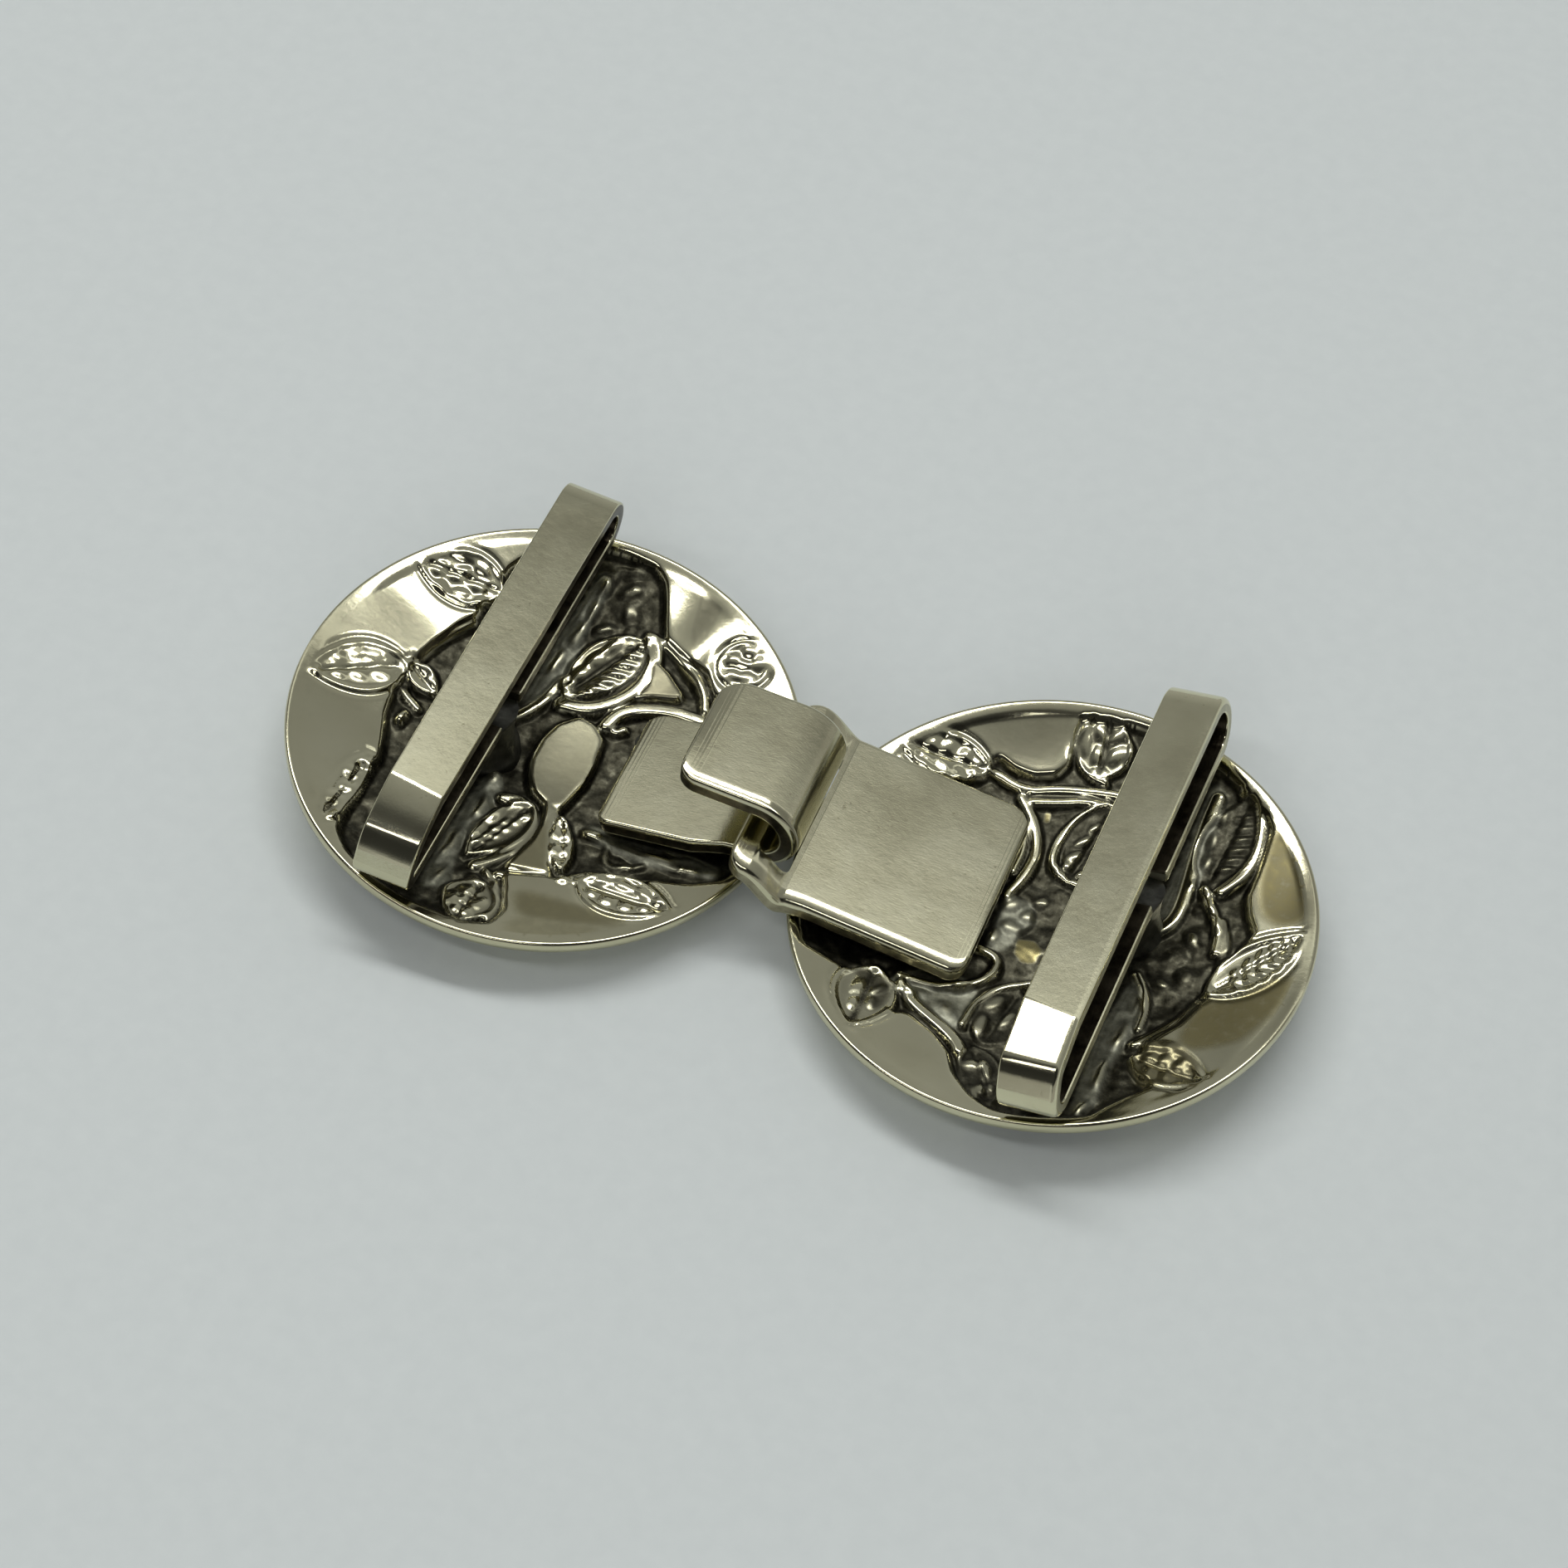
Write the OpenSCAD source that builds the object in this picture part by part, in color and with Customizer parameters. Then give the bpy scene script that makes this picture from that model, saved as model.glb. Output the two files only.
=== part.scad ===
// Two-part apron clasp, lying face down and hooked together.
// Each half is a cast disc with a spray of leaves, and its ribbon loop and plate are soldered to
// its hollow back. X runs from the hook half to the eye half, Z up. Millimetres.

/* [Discs] */
// Diameter of each disc
disc_d = 30; // [29:0.5:31]
// Depth of the hollow back, from rim to middle
dish_depth = 2.2; // [1.8:0.1:2.6]
// Thickness of the cast sheet
disc_t = 0.9; // [0.8:0.05:1.1]
// Height of the rounded rim above the field
rim_bead = 0.12; // [0:0.02:0.2]
// Width of the rounded rim
rim_w = 0.9; // [0.8:0.1:1.2]
// Distance between the two disc centres
centre_gap = 31.1; // [31:0.05:31.2]
// Lean of each half towards the hook, in degrees
lean = 3.5; // [3.2:0.1:3.8]

/* [Relief] */
// How far the leaves stand out of the face
leaf_relief = 0.45; // [0.3:0.05:0.6]
// How far the buds stand out of the face
bud_relief = 0.5; // [0.3:0.05:0.6]
// How far the stems stand out of the face
stem_relief = 0.4; // [0.2:0.05:0.5]
// How far the ground behind the spray stands out of the face
ground_relief = 0.5; // [0.3:0.05:0.6]
// Width of a stem
stem_w = 1.2; // [1:0.1:1.5]
// Rings of facets from the middle of a disc to its rim
rings = 20; // [12:1:20]

/* [Ribbon loops] */
// Length of a loop over its round ends
loop_len = 29.9; // [28:0.1:30]
// Width of the strip
strip_w = 3.4; // [3:0.1:4]
// Thickness of the strip
strip_t = 0.9; // [0.7:0.05:1]
// Outer height of the hook half's loop at its far end
hook_loop_far_h = 3.8; // [3.6:0.1:4.2]
// Outer height of the hook half's loop at its near end
hook_loop_near_h = 4.1; // [3.6:0.1:4.2]
// Outer height of the eye half's loop
eye_loop_h = 4.2; // [3.8:0.1:4.4]
// Top of the hook half's loop above the rim
hook_loop_top = 4.5; // [4.4:0.1:4.8]
// Top of the eye half's loop above the rim
eye_loop_top = 4.7; // [4.6:0.1:4.9]
// Place of the hook half's loop along the clasp
hook_loop_x = -3.6; // [-4.5:0.1:-2.5]
// Place of the eye half's loop along the clasp
eye_loop_x = 3.7; // [2.5:0.1:4.5]
// Turn of both loops seen from above, in degrees
loop_turn = -1; // [-3:0.5:3]
// Sideways lean of the eye half's loop, in degrees
eye_loop_roll = -9; // [-10:1:0]
// Gap between the strip's two ends
seam_gap = 2.4; // [1.5:0.1:3]

/* [Hook] */
// Thickness of the hook and eye plates
plate_t = 1.25; // [1.1:0.05:1.3]
// Width of the tongue
tongue_w = 8.6; // [8.2:0.1:9]
// Width of the hook
hook_w = 7.8; // [7.4:0.1:8]
// Outer radius of the hook's bend
bend_r = 2.8; // [2.7:0.05:2.85]
// Place of the bend's centre along the clasp
bend_x = 14.1; // [14:0.05:14.2]
// Height of the bend's centre above the rim
bend_z = 3.25; // [3.2:0.05:3.3]
// Slope of the tongue, in degrees
tongue_slope = 14; // [13:0.5:15]
// Inner end of the tongue
tongue_end_x = 4.5; // [4:0.1:5.5]
// Where the tongue narrows to the hook
narrow_x = 12.6; // [12:0.1:13]
// Free end of the hook
hook_tip_x = 9.2; // [8.5:0.1:10]

/* [Eye] */
// Width of the eye plate
eye_w = 12.4; // [12:0.1:12.6]
// Inner end of the eye plate
eye_end_x = -3.2; // [-4:0.1:-3]
// Outer end of the eye plate
eye_tip_x = -17.3; // [-17.4:0.1:-17.2]
// Height of the plate's top at its inner end
eye_end_z = -0.4; // [-0.5:0.05:-0.3]
// Slope of the plate, in degrees
eye_slope = 10.5; // [10:0.5:11]
// How far the end bar is raised above the sloping plate
eye_rise = 1.7; // [1.5:0.1:1.8]
// Where the raised end starts
rise_start_x = -14; // [-14.1:0.1:-13.9]
// Where the raised end is flat again
rise_end_x = -16.2; // [-16.3:0.1:-16.1]
// Width of the end bar
bar_w = 1.4; // [1.2:0.1:1.4]
// Width of the slot
slot_w = 1.8; // [1.7:0.1:1.8]
// Length of the slot
slot_l = 9.2; // [9:0.1:9.4]
// How far the slot's middle is moved towards the near side
slot_shift = 0.25; // [0:0.05:0.3]

/* [Hidden] */
$fn = 48;
metal = [0.66, 0.63, 0.52];
disc_r = disc_d / 2;
// Length of the tongue from the bend to a little past its end, where it is cut off.
tongue_run = (bend_x - tongue_end_x) / cos(tongue_slope) + 1.5;
// How far the tongue lies inside the bend's tangent, so that the two meet at a slight angle.
kink = 0.04;

// The sprays, seen from the back, with each disc's middle as the origin.
// Leaves: x, y, length, width, direction of the tip in degrees.
HOOK_LEAVES = [
    [-11.9, 0.1, 5.8, 3.1, 212],
    [-9.0, 8.7, 5.4, 3.2, 187],
    [0.8, 6.7, 6.0, 3.4, 238],
    [8.4, -8.4, 5.8, 2.9, 2],
    [0.3, -6.3, 5.2, 2.7, 254],
    [3.5, -5.9, 4.6, 1.8, 112],
    [-8.4, -8.4, 6.0, 2.3, 268],
    [0.7, 12.0, 3.6, 2.8, 85],
];
EYE_LEAVES = [
    [-9.4, 8.6, 5.2, 2.5, 188],
    [0.0, 6.3, 5.8, 3.4, 262],
    [7.5, 8.8, 6.6, 3.7, 84],
    [11.7, 0.7, 6.4, 2.9, 52],
    [9.3, -7.5, 4.6, 2.5, 342],
    [-0.7, -7.2, 4.6, 2.8, 82],
    [-0.2, -11.8, 4.8, 2.2, 302],
];
// Buds: x, y, radius.
HOOK_BUDS = [
    [8.4, 9.7, 1.6],
    [0.7, -12.0, 1.5],
];
EYE_BUDS = [
    [-1.2, 12.4, 1.7],
    [-7.9, -9.2, 1.8],
];
// Stems: x and y of the start, x and y of the end.
HOOK_STEMS = [
    [-9.4, 2.2, -8.6, 4.6],
    [-8.6, 4.6, -7.3, 6.9],
    [-9.3, 0.9, -9.2, -1.6],
    [-9.2, -1.6, -7.9, -5.4],
    [2.4, 9.4, 4.4, 8.9],
    [4.4, 8.9, 7.3, 7.2],
    [3.2, 5.1, 7.4, 5.5],
    [3.4, -3.4, 5.2, -4.7],
    [5.2, -4.7, 8.6, -5.0],
    [1.2, -9.2, 5.4, -8.5],
    [0.9, -9.3, 0.7, -11.0],
];
EYE_STEMS = [
    [-6.9, 8.8, -4.9, 8.5],
    [-4.9, 8.5, 0.2, 9.8],
    [-6.6, -7.7, -5.0, -8.9],
    [-5.0, -8.9, -2.0, -9.9],
    [-4.9, 8.2, -3.0, 5.2],
    [-3.0, 5.2, -2.8, 1.4],
    [-2.2, -3.6, -2.6, -5.6],
    [-2.6, -5.6, -6.0, -6.6],
    [8.3, 5.4, 9.7, 2.6],
    [9.7, 2.6, 9.8, -0.8],
    [9.3, -1.8, 9.2, -3.4],
    [9.2, -3.4, 7.2, -6.0],
];
// Open ground between the stems: x, y, half length along x, half length along y.
HOOK_GROUND = [
    [-6.6, 5.5, 2.4, 6.5],
    [-6.4, -4.2, 2.7, 8.5],
    [-1.6, 0.2, 2.2, 4.6],
    [0.2, 9.8, 3.4, 4.4],
    [-1.6, -9.2, 2.6, 4.4],
    [6.6, -2.6, 4.6, 3.0],
];
EYE_GROUND = [
    [-0.4, 6.8, 3.6, 4.2],
    [-1.8, -0.6, 2.0, 4.6],
    [2.8, 0.2, 3.2, 13.2],
    [7.4, 7.4, 2.6, 4.6],
    [7.4, -1.0, 2.6, 5.6],
    [7.2, -7.6, 2.2, 4.4],
    [-1.4, -7.6, 2.2, 3.6],
];

// Eased step from 0 to 1.
function ease(t) = let(u = min(max(t, 0), 1)) u * u * (3 - 2 * u);
// Distance from point p to the stem s.
function stem_gap(p, s) =
    let(
        a = [s[0], s[1]],
        run = [s[2], s[3]] - a,
        t = min(max((p - a) * run / (run * run), 0), 1)
    )
    norm(p - a - t * run);
// Each shape's share of its full relief at p: 1 in its middle, 0 outside it.
function leaf_share(p, s) =
    let(
        d = p - [s[0], s[1]],
        along = d * [cos(s[4]), sin(s[4])] * 2 / s[2],
        across = d * [-sin(s[4]), cos(s[4])] * 2 / s[3]
    )
    ease(2.2 * (1 - abs(across) - along * along));
function bud_share(p, s) = ease(1.6 * (1 - norm(p - [s[0], s[1]]) / s[2]));
function stem_share(p, s) = ease(1.6 * (1 - 2 * stem_gap(p, s) / stem_w));
function ground_share(p, s) = ease(3 * (1 - norm([(p[0] - s[0]) / s[2], (p[1] - s[1]) / s[3]])));
function relief(p, spray) =
    max(concat(
        [for (s = spray[0]) leaf_relief * leaf_share(p, s)],
        [for (s = spray[1]) bud_relief * bud_share(p, s)],
        [for (s = spray[2]) stem_relief * stem_share(p, s)],
        [for (s = spray[3]) ground_relief * ground_share(p, s)]
    ));
// Height of the plain dish above the rim's plane at distance r from the middle.
function dish(r) = -dish_depth * (1 - pow(r / disc_r, 2)) + rim_bead * ease((r - disc_r + rim_w) / rim_w * 2);

// Points of a disc in rings of 6, 12, 18 and so on, and the triangles between two rings.
grid = [
    for (k = [0 : rings])
        each k == 0 ? [[0, 0]] : [
            for (i = [0 : 6 * k - 1])
                disc_r * k / rings * [cos(60 * i / k), sin(60 * i / k)]
        ]
];
function first(k) = k == 0 ? 0 : 1 + 3 * k * (k - 1);
function at(k, i) = k == 0 ? 0 : first(k) + i % (6 * k);
SHEET = [
    for (k = [1 : rings], side = [0 : 5], i = [0 : k - 1])
        each concat(
            [[at(k, side * k + i), at(k, side * k + i + 1), at(k - 1, side * (k - 1) + i)]],
            i == k - 1 ? [] : [[
                at(k, side * k + i + 1),
                at(k - 1, side * (k - 1) + i + 1),
                at(k - 1, side * (k - 1) + i)
            ]]
        )
];
count = len(grid);
RIM = [
    for (i = [0 : 6 * rings - 1])
        let(a = at(rings, i), b = at(rings, i + 1))
        each [[a, b, b + count], [a, b + count, a + count]]
];

function back_points(spray) = [for (p = grid) [p[0], p[1], dish(norm(p)) - relief(p, spray)]];
function face_points(spray) = [for (p = back_points(spray)) p - [0, 0, disc_t]];
HOOK_SPRAY = [HOOK_LEAVES, HOOK_BUDS, HOOK_STEMS, HOOK_GROUND];
EYE_SPRAY = [EYE_LEAVES, EYE_BUDS, EYE_STEMS, EYE_GROUND];
// Height of the rims' middles that lets the lowest point of the faces touch the ground.
rim_z = -min(concat(
    [for (p = face_points(HOOK_SPRAY)) p[2] * cos(lean) - p[0] * sin(lean)],
    [for (p = face_points(EYE_SPRAY)) p[2] * cos(lean) + p[0] * sin(lean)]
));

module cast_disc(spray) {
    polyhedron(
        points = concat(back_points(spray), face_points(spray)),
        faces = concat([for (t = SHEET) [t[0], t[2], t[1]]], [for (t = SHEET) t + [count, count, count]], RIM)
    );
}

// Outline of a loop seen from its side: y along the loop, z up from its top.
module loop_outline(far_r, near_r, inset) {
    far_y = loop_len / 2 - far_r;
    near_y = near_r - loop_len / 2;
    translate([far_y, -far_r])
        circle(far_r - inset);
    translate([near_y, -near_r])
        circle(near_r - inset);
    translate([0, inset - 2 * far_r])
        square([far_y, 2 * (far_r - inset)]);
    translate([near_y, inset - 2 * near_r])
        square([-near_y, 2 * (near_r - inset)]);
}

module ribbon_loop(far_h, near_h, seam_y) {
    rotate([90, 0, 90])
        linear_extrude(height = strip_w, center = true)
            difference() {
                loop_outline(far_h / 2, near_h / 2, 0);
                loop_outline(far_h / 2, near_h / 2, strip_t);
                translate([seam_y - seam_gap / 2, -far_h - near_h])
                    square([seam_gap, far_h + near_h - 2 * strip_t]);
            }
}

// Solder that stands on the dish at [x, y] and reaches up to the height top.
module solder(x, y, foot_r, top_r, top) {
    foot = dish(norm([x, y])) - disc_t * 0.8;
    translate([x, y, foot])
        cylinder(h = top - foot, r1 = foot_r, r2 = top_r);
}

// A plate's side view, given as children, made as wide as the plate.
module bent_plate(width) {
    rotate([90, 0, 0])
        linear_extrude(height = width, center = true)
            children();
}

// Upright block with round corners over the plan from x0 to x1, between two heights.
module rounded_plan(x0, x1, width, corner_r, z0, z1) {
    translate([0, 0, z0])
        linear_extrude(height = z1 - z0) {
            for (x = [x0 + corner_r, x1 - corner_r], y = [-1, 1])
                translate([x, y * (width / 2 - corner_r)])
                    circle(corner_r);
            translate([x0 + corner_r, -width / 2])
                square([x1 - x0 - 2 * corner_r, width]);
            translate([x0, corner_r - width / 2])
                square([x1 - x0, width - 2 * corner_r]);
        }
}

// The hook plate seen from its side: the tongue, the bend and the free end in one strip.
module hook_profile() {
    bend_inner = bend_r - plate_t;
    tip_run = bend_x - hook_tip_x + 1;
    translate([bend_x, bend_z])
        difference() {
            union() {
                circle(bend_r);
                translate([-tip_run, 0])
                    square([tip_run, bend_r]);
                rotate(tongue_slope)
                    translate([-tongue_run, kink - bend_r])
                        square([tongue_run, bend_r]);
            }
            circle(bend_inner);
            translate([-2 * tip_run, -1])
                square([2 * tip_run, bend_inner + 1]);
            rotate(tongue_slope)
                translate([-2 * tongue_run, kink - bend_inner])
                    square([2 * tongue_run, bend_inner + 1]);
        }
}

// What is cut off a plate to end it at x with two round corners, between two heights.
module round_end(x, width, r, z0, z1) {
    difference() {
        translate([x - 4, -width / 2 - 1, z0])
            cube([4 + r, width + 2, z1 - z0]);
        for (side = [-1, 1])
            translate([x + r, side * (width / 2 - r), z0 - 1])
                cylinder(h = z1 - z0 + 2, r = r);
        translate([x, r - width / 2, z0 - 1])
            cube([r + 1, width - 2 * r, z1 - z0 + 2]);
    }
}

module hook_plate() {
    difference() {
        union() {
            bent_plate(hook_w)
                hook_profile();
            // The tongue is a little wider than the hook.
            bent_plate(tongue_w)
                translate([bend_x, bend_z])
                    rotate(tongue_slope)
                        translate([-tongue_run, kink - bend_r])
                            square([tongue_run - (bend_x - narrow_x) / cos(tongue_slope), plate_t]);
        }
        round_end(tongue_end_x, tongue_w, 0.9, -5, bend_z);
        round_end(hook_tip_x, hook_w, 1.3, bend_z + 1, 9);
    }
}

// Height of the eye plate's top at x.
function eye_top(x) =
    eye_end_z + (eye_end_x - x) * tan(eye_slope) + eye_rise * ease((rise_start_x - x) / (rise_start_x - rise_end_x));

module eye_plate() {
    steps = 8;
    top = concat(
        [eye_end_x + 0.01],
        [for (i = [0 : steps]) rise_start_x + (rise_end_x - rise_start_x) * i / steps],
        [eye_tip_x - 0.01]
    );
    difference() {
        intersection() {
            bent_plate(eye_w)
                polygon(concat(
                    [for (x = top) [x, eye_top(x)]],
                    [for (i = [len(top) - 1 : -1 : 0]) [top[i], eye_top(top[i]) - plate_t]]
                ));
            rounded_plan(eye_tip_x, eye_end_x, eye_w, 1.2, -10, 10);
        }
        translate([eye_tip_x + bar_w, -slot_l / 2 - slot_shift, 0])
            cube([slot_w, slot_l, 2 * disc_r]);
    }
}

module hook_half() {
    color(metal)
        translate([-centre_gap / 2, 0, rim_z])
            rotate([0, lean, 0]) {
                cast_disc(HOOK_SPRAY);
                translate([hook_loop_x, 0, hook_loop_top])
                    rotate([0, 0, loop_turn])
                        ribbon_loop(hook_loop_far_h, hook_loop_near_h, -0.7);
                solder(hook_loop_x, -0.7, 2.4, 1.5, hook_loop_top - hook_loop_near_h + strip_t / 2);
                hook_plate();
                solder(6.4, 2.2, 1.6, 1.2, -0.6);
                solder(6.4, -2.2, 1.6, 1.2, -0.6);
            }
}

module eye_half() {
    color(metal)
        translate([centre_gap / 2, 0, rim_z])
            rotate([0, -lean, 0]) {
                cast_disc(EYE_SPRAY);
                translate([eye_loop_x, 0, eye_loop_top])
                    translate([0, 0, -eye_loop_h / 2])
                        rotate([0, eye_loop_roll, loop_turn])
                            translate([0, 0, eye_loop_h / 2])
                                ribbon_loop(eye_loop_h, eye_loop_h, 1.9);
                solder(eye_loop_x + 0.2, 1.9, 2.4, 1.5, eye_loop_top - eye_loop_h + strip_t / 2);
                eye_plate();
                solder(-5.4, 3, 1.6, 1.2, -0.7);
                solder(-5.4, -3, 1.6, 1.2, -0.7);
            }
}

hook_half();
eye_half();
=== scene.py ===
# %% [markdown]
# # An apron clasp, lying face down and hooked together
#
# The real object is a pair of small cast discs in pale nickel. Each has a long strip of metal
# bent into a ribbon loop on its back. One also has a hook plate, and the other a plate with a
# slot that the hook goes through. The photograph shows their backs.
#
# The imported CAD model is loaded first. It is the fixed frame: every piece below is built in
# the same place and the same size as the solid that it stands for.

# %% Load the frame
import math

import bmesh
import bpy
import numpy as np
from mathutils import Matrix


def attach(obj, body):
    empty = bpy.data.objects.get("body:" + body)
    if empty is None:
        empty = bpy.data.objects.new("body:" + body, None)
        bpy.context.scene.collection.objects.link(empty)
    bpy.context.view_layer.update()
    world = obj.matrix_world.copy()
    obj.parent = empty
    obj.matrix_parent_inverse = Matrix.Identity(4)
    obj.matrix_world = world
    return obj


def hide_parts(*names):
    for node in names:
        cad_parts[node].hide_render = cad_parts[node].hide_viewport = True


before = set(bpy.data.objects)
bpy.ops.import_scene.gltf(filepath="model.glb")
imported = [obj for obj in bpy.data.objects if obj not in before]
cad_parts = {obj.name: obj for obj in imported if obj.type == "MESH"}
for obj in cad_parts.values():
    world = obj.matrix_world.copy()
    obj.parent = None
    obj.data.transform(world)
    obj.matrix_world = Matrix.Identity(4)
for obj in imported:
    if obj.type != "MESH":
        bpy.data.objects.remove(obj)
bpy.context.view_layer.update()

# %% [markdown]
# ## Measures of the two halves
#
# Both halves lean a little towards the hook, so each is easiest to build straight, with its
# rim in the plane z = 0 and the disc's middle at the origin. One matrix per half then tips it
# and moves it to its place. All measures are in millimetres, and the matrix also turns them
# into metres.

# %% Where each half stands
MM = 0.001
LEAN = math.radians(3.5)
CENTRE_GAP = 31.1
RIM_HEIGHT = 3.6886

def place_of(side):
    """From one half's own millimetres to the frame's metres. side is -1 for the hook half and
    1 for the eye half."""
    tip = Matrix.Rotation(-side * LEAN, 4, "Y")
    move = Matrix.Translation((side * CENTRE_GAP / 2, 0, RIM_HEIGHT))
    return np.array(Matrix.Scale(MM, 4) @ move @ tip)

HOOK_PLACE = place_of(-1)
EYE_PLACE = place_of(1)

def moved(points, place):
    """The points after a 4x4 matrix."""
    points = np.asarray(points, float)
    return points @ place[:3, :3].T + place[:3, 3]

print("the hook half's middle is at", moved([[0, 0, 0]], HOOK_PLACE).round(4))

# %% [markdown]
# ## One way to make every mesh
#
# A mesh could be modelled by hand, but here each surface follows measured numbers, so it is
# worked out in numpy and handed to Blender in one go. Smooth shading alone would smear light
# over the flat sides next to a small round edge. Weighted normals let the big faces decide,
# which keeps sheet metal flat and its edges crisp.

# %% From points to a piece
def make_piece(name, points, faces, weighted=True, kinds=None):
    """A new object from points in metres. kinds gives each face the number of its finish."""
    mesh = bpy.data.meshes.new(name)
    mesh.from_pydata(np.asarray(points).tolist(), [], [list(map(int, f)) for f in faces])
    mesh.polygons.foreach_set("use_smooth", [True] * len(mesh.polygons))
    if kinds is not None:
        for _ in range(max(kinds) + 1):
            mesh.materials.append(None)
        mesh.polygons.foreach_set("material_index", list(kinds))
    shape = bmesh.new()
    shape.from_mesh(mesh)
    bmesh.ops.recalc_face_normals(shape, faces=shape.faces)
    shape.to_mesh(mesh)
    shape.free()
    piece = bpy.data.objects.new(name, mesh)
    bpy.context.scene.collection.objects.link(piece)
    if weighted:
        normals = piece.modifiers.new("flat sides stay flat", "WEIGHTED_NORMAL")
        normals.keep_sharp = True
    print(name, "has", len(mesh.vertices), "points and", len(mesh.polygons), "faces")
    return piece

def eased(t):
    """0 below 0, 1 above 1, and a smooth step between."""
    t = np.clip(t, 0, 1)
    return t * t * (3 - 2 * t)

# %% [markdown]
# ## Bending strip
#
# Loops and plates are all flat strip that a smith bent: a straight length, a bend of some
# radius, another straight length. The same list of moves gives the middle line of the strip.
# A curve object with a bevel could follow it too, but a swept section can change its width on
# the way, which rounds the corners of the plates in plan.

# %% The smith's moves
BEND_STEP = 0.25
BEND_DEGREES = 6

def bent_line(start, heading, moves):
    """Middle line of a strip in its side view: rows of a, b, heading. A move is (length,) or
    (radius, angle in degrees)."""
    a, b = start
    heading = math.radians(heading)
    rows = [(a, b, heading)]
    for move in moves:
        if len(move) == 1:
            count = max(1, round(move[0] / (4 * BEND_STEP)))
            for _ in range(count):
                a += move[0] / count * math.cos(heading)
                b += move[0] / count * math.sin(heading)
                rows.append((a, b, heading))
        else:
            radius, turn = move[0], math.radians(move[1])
            by_length = math.ceil(abs(radius * turn) / BEND_STEP)
            count = max(4, by_length, math.ceil(abs(move[1]) / BEND_DEGREES))
            for _ in range(count):
                half = turn / count / 2
                chord = 2 * radius * abs(math.sin(half))
                a += chord * math.cos(heading + half)
                b += chord * math.sin(heading + half)
                heading += 2 * half
                rows.append((a, b, heading))
    return np.array(rows)

print("a quarter bend of radius 2 ends at", bent_line((0, 0), 0, [(2, 90)])[-1, :2].round(3))

# %% Points along a bent line
def run_of(line):
    """Distance of each row of a bent line from its start."""
    return np.concatenate([[0], np.cumsum(np.hypot(*np.diff(line[:, :2], axis=0).T))])

def along(line, distances):
    """Rows of a bent line at these distances from its start."""
    return np.stack([np.interp(distances, run_of(line), line[:, k]) for k in range(3)], axis=1)

print("and it is", run_of(bent_line((0, 0), 0, [(2, 90)]))[-1].round(3), "long")

# %% [markdown]
# ## The edge of a strip
#
# The light on an edge says how it was finished. On the plates the near edge carries a broad
# white band, far too wide for a small round edge. It must be a gentle roll-off, as left by a
# file or a buffing wheel, and only then a tight curve. The section can have that roll on its
# near side. It also says which finish follows each point, because the cut sides of the strip
# are not polished like its faces.

# %% A section of strip
POLISHED, CUT, INNER = 0, 1, 2
ARC_STEPS = 4

def section(near, far, thick, outer_r, inner_r, roll=None, far_r=None):
    """Rounded cross-section of a strip: rows of x, y and the finish of the stretch after the
    point. Its sides are at -near and far. roll is (radius, degrees) of a gentle roll-off at the
    near side, and far_r is the far side's own outer radius."""
    far_r = far_r or outer_r
    top = thick / 2
    big, turn = roll or (outer_r, 0)
    c, s = math.cos(math.radians(turn)), math.sin(math.radians(turn))
    arcs = [(far - far_r, top - far_r, far_r, 0, 90, POLISHED)]
    if roll:
        arcs.append((outer_r - near + (big - outer_r) * s, top - big, big, 90, 90 + turn, POLISHED))
    arcs.append((outer_r - near, top - big + (big - outer_r) * c, outer_r, 90 + turn, 180, CUT))
    arcs.append((inner_r - near, inner_r - top, inner_r, 180, 270, INNER))
    arcs.append((far - inner_r, inner_r - top, inner_r, 270, 360, CUT))
    rows = []
    for x, y, r, a, b, after in arcs:
        for i in range(ARC_STEPS + 1):
            angle = math.radians(a + (b - a) * i / ARC_STEPS)
            finish = after if i == ARC_STEPS else POLISHED
            rows.append((x + r * math.cos(angle), y + r * math.sin(angle), finish))
    return np.array(rows)

print("a plain section has", len(section(2, 2, 1, 0.1, 0.1)), "points")

# %% Sweeping a strip along its line
CORNER_STEPS = 8
LEAST_R = 0.01

def corner_cut(r, gap):
    """How far a round corner pulls the side in at this distance from the end."""
    return r - math.sqrt(max(r * r - max(r - gap, 0) ** 2, 0)) if r else 0

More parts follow.
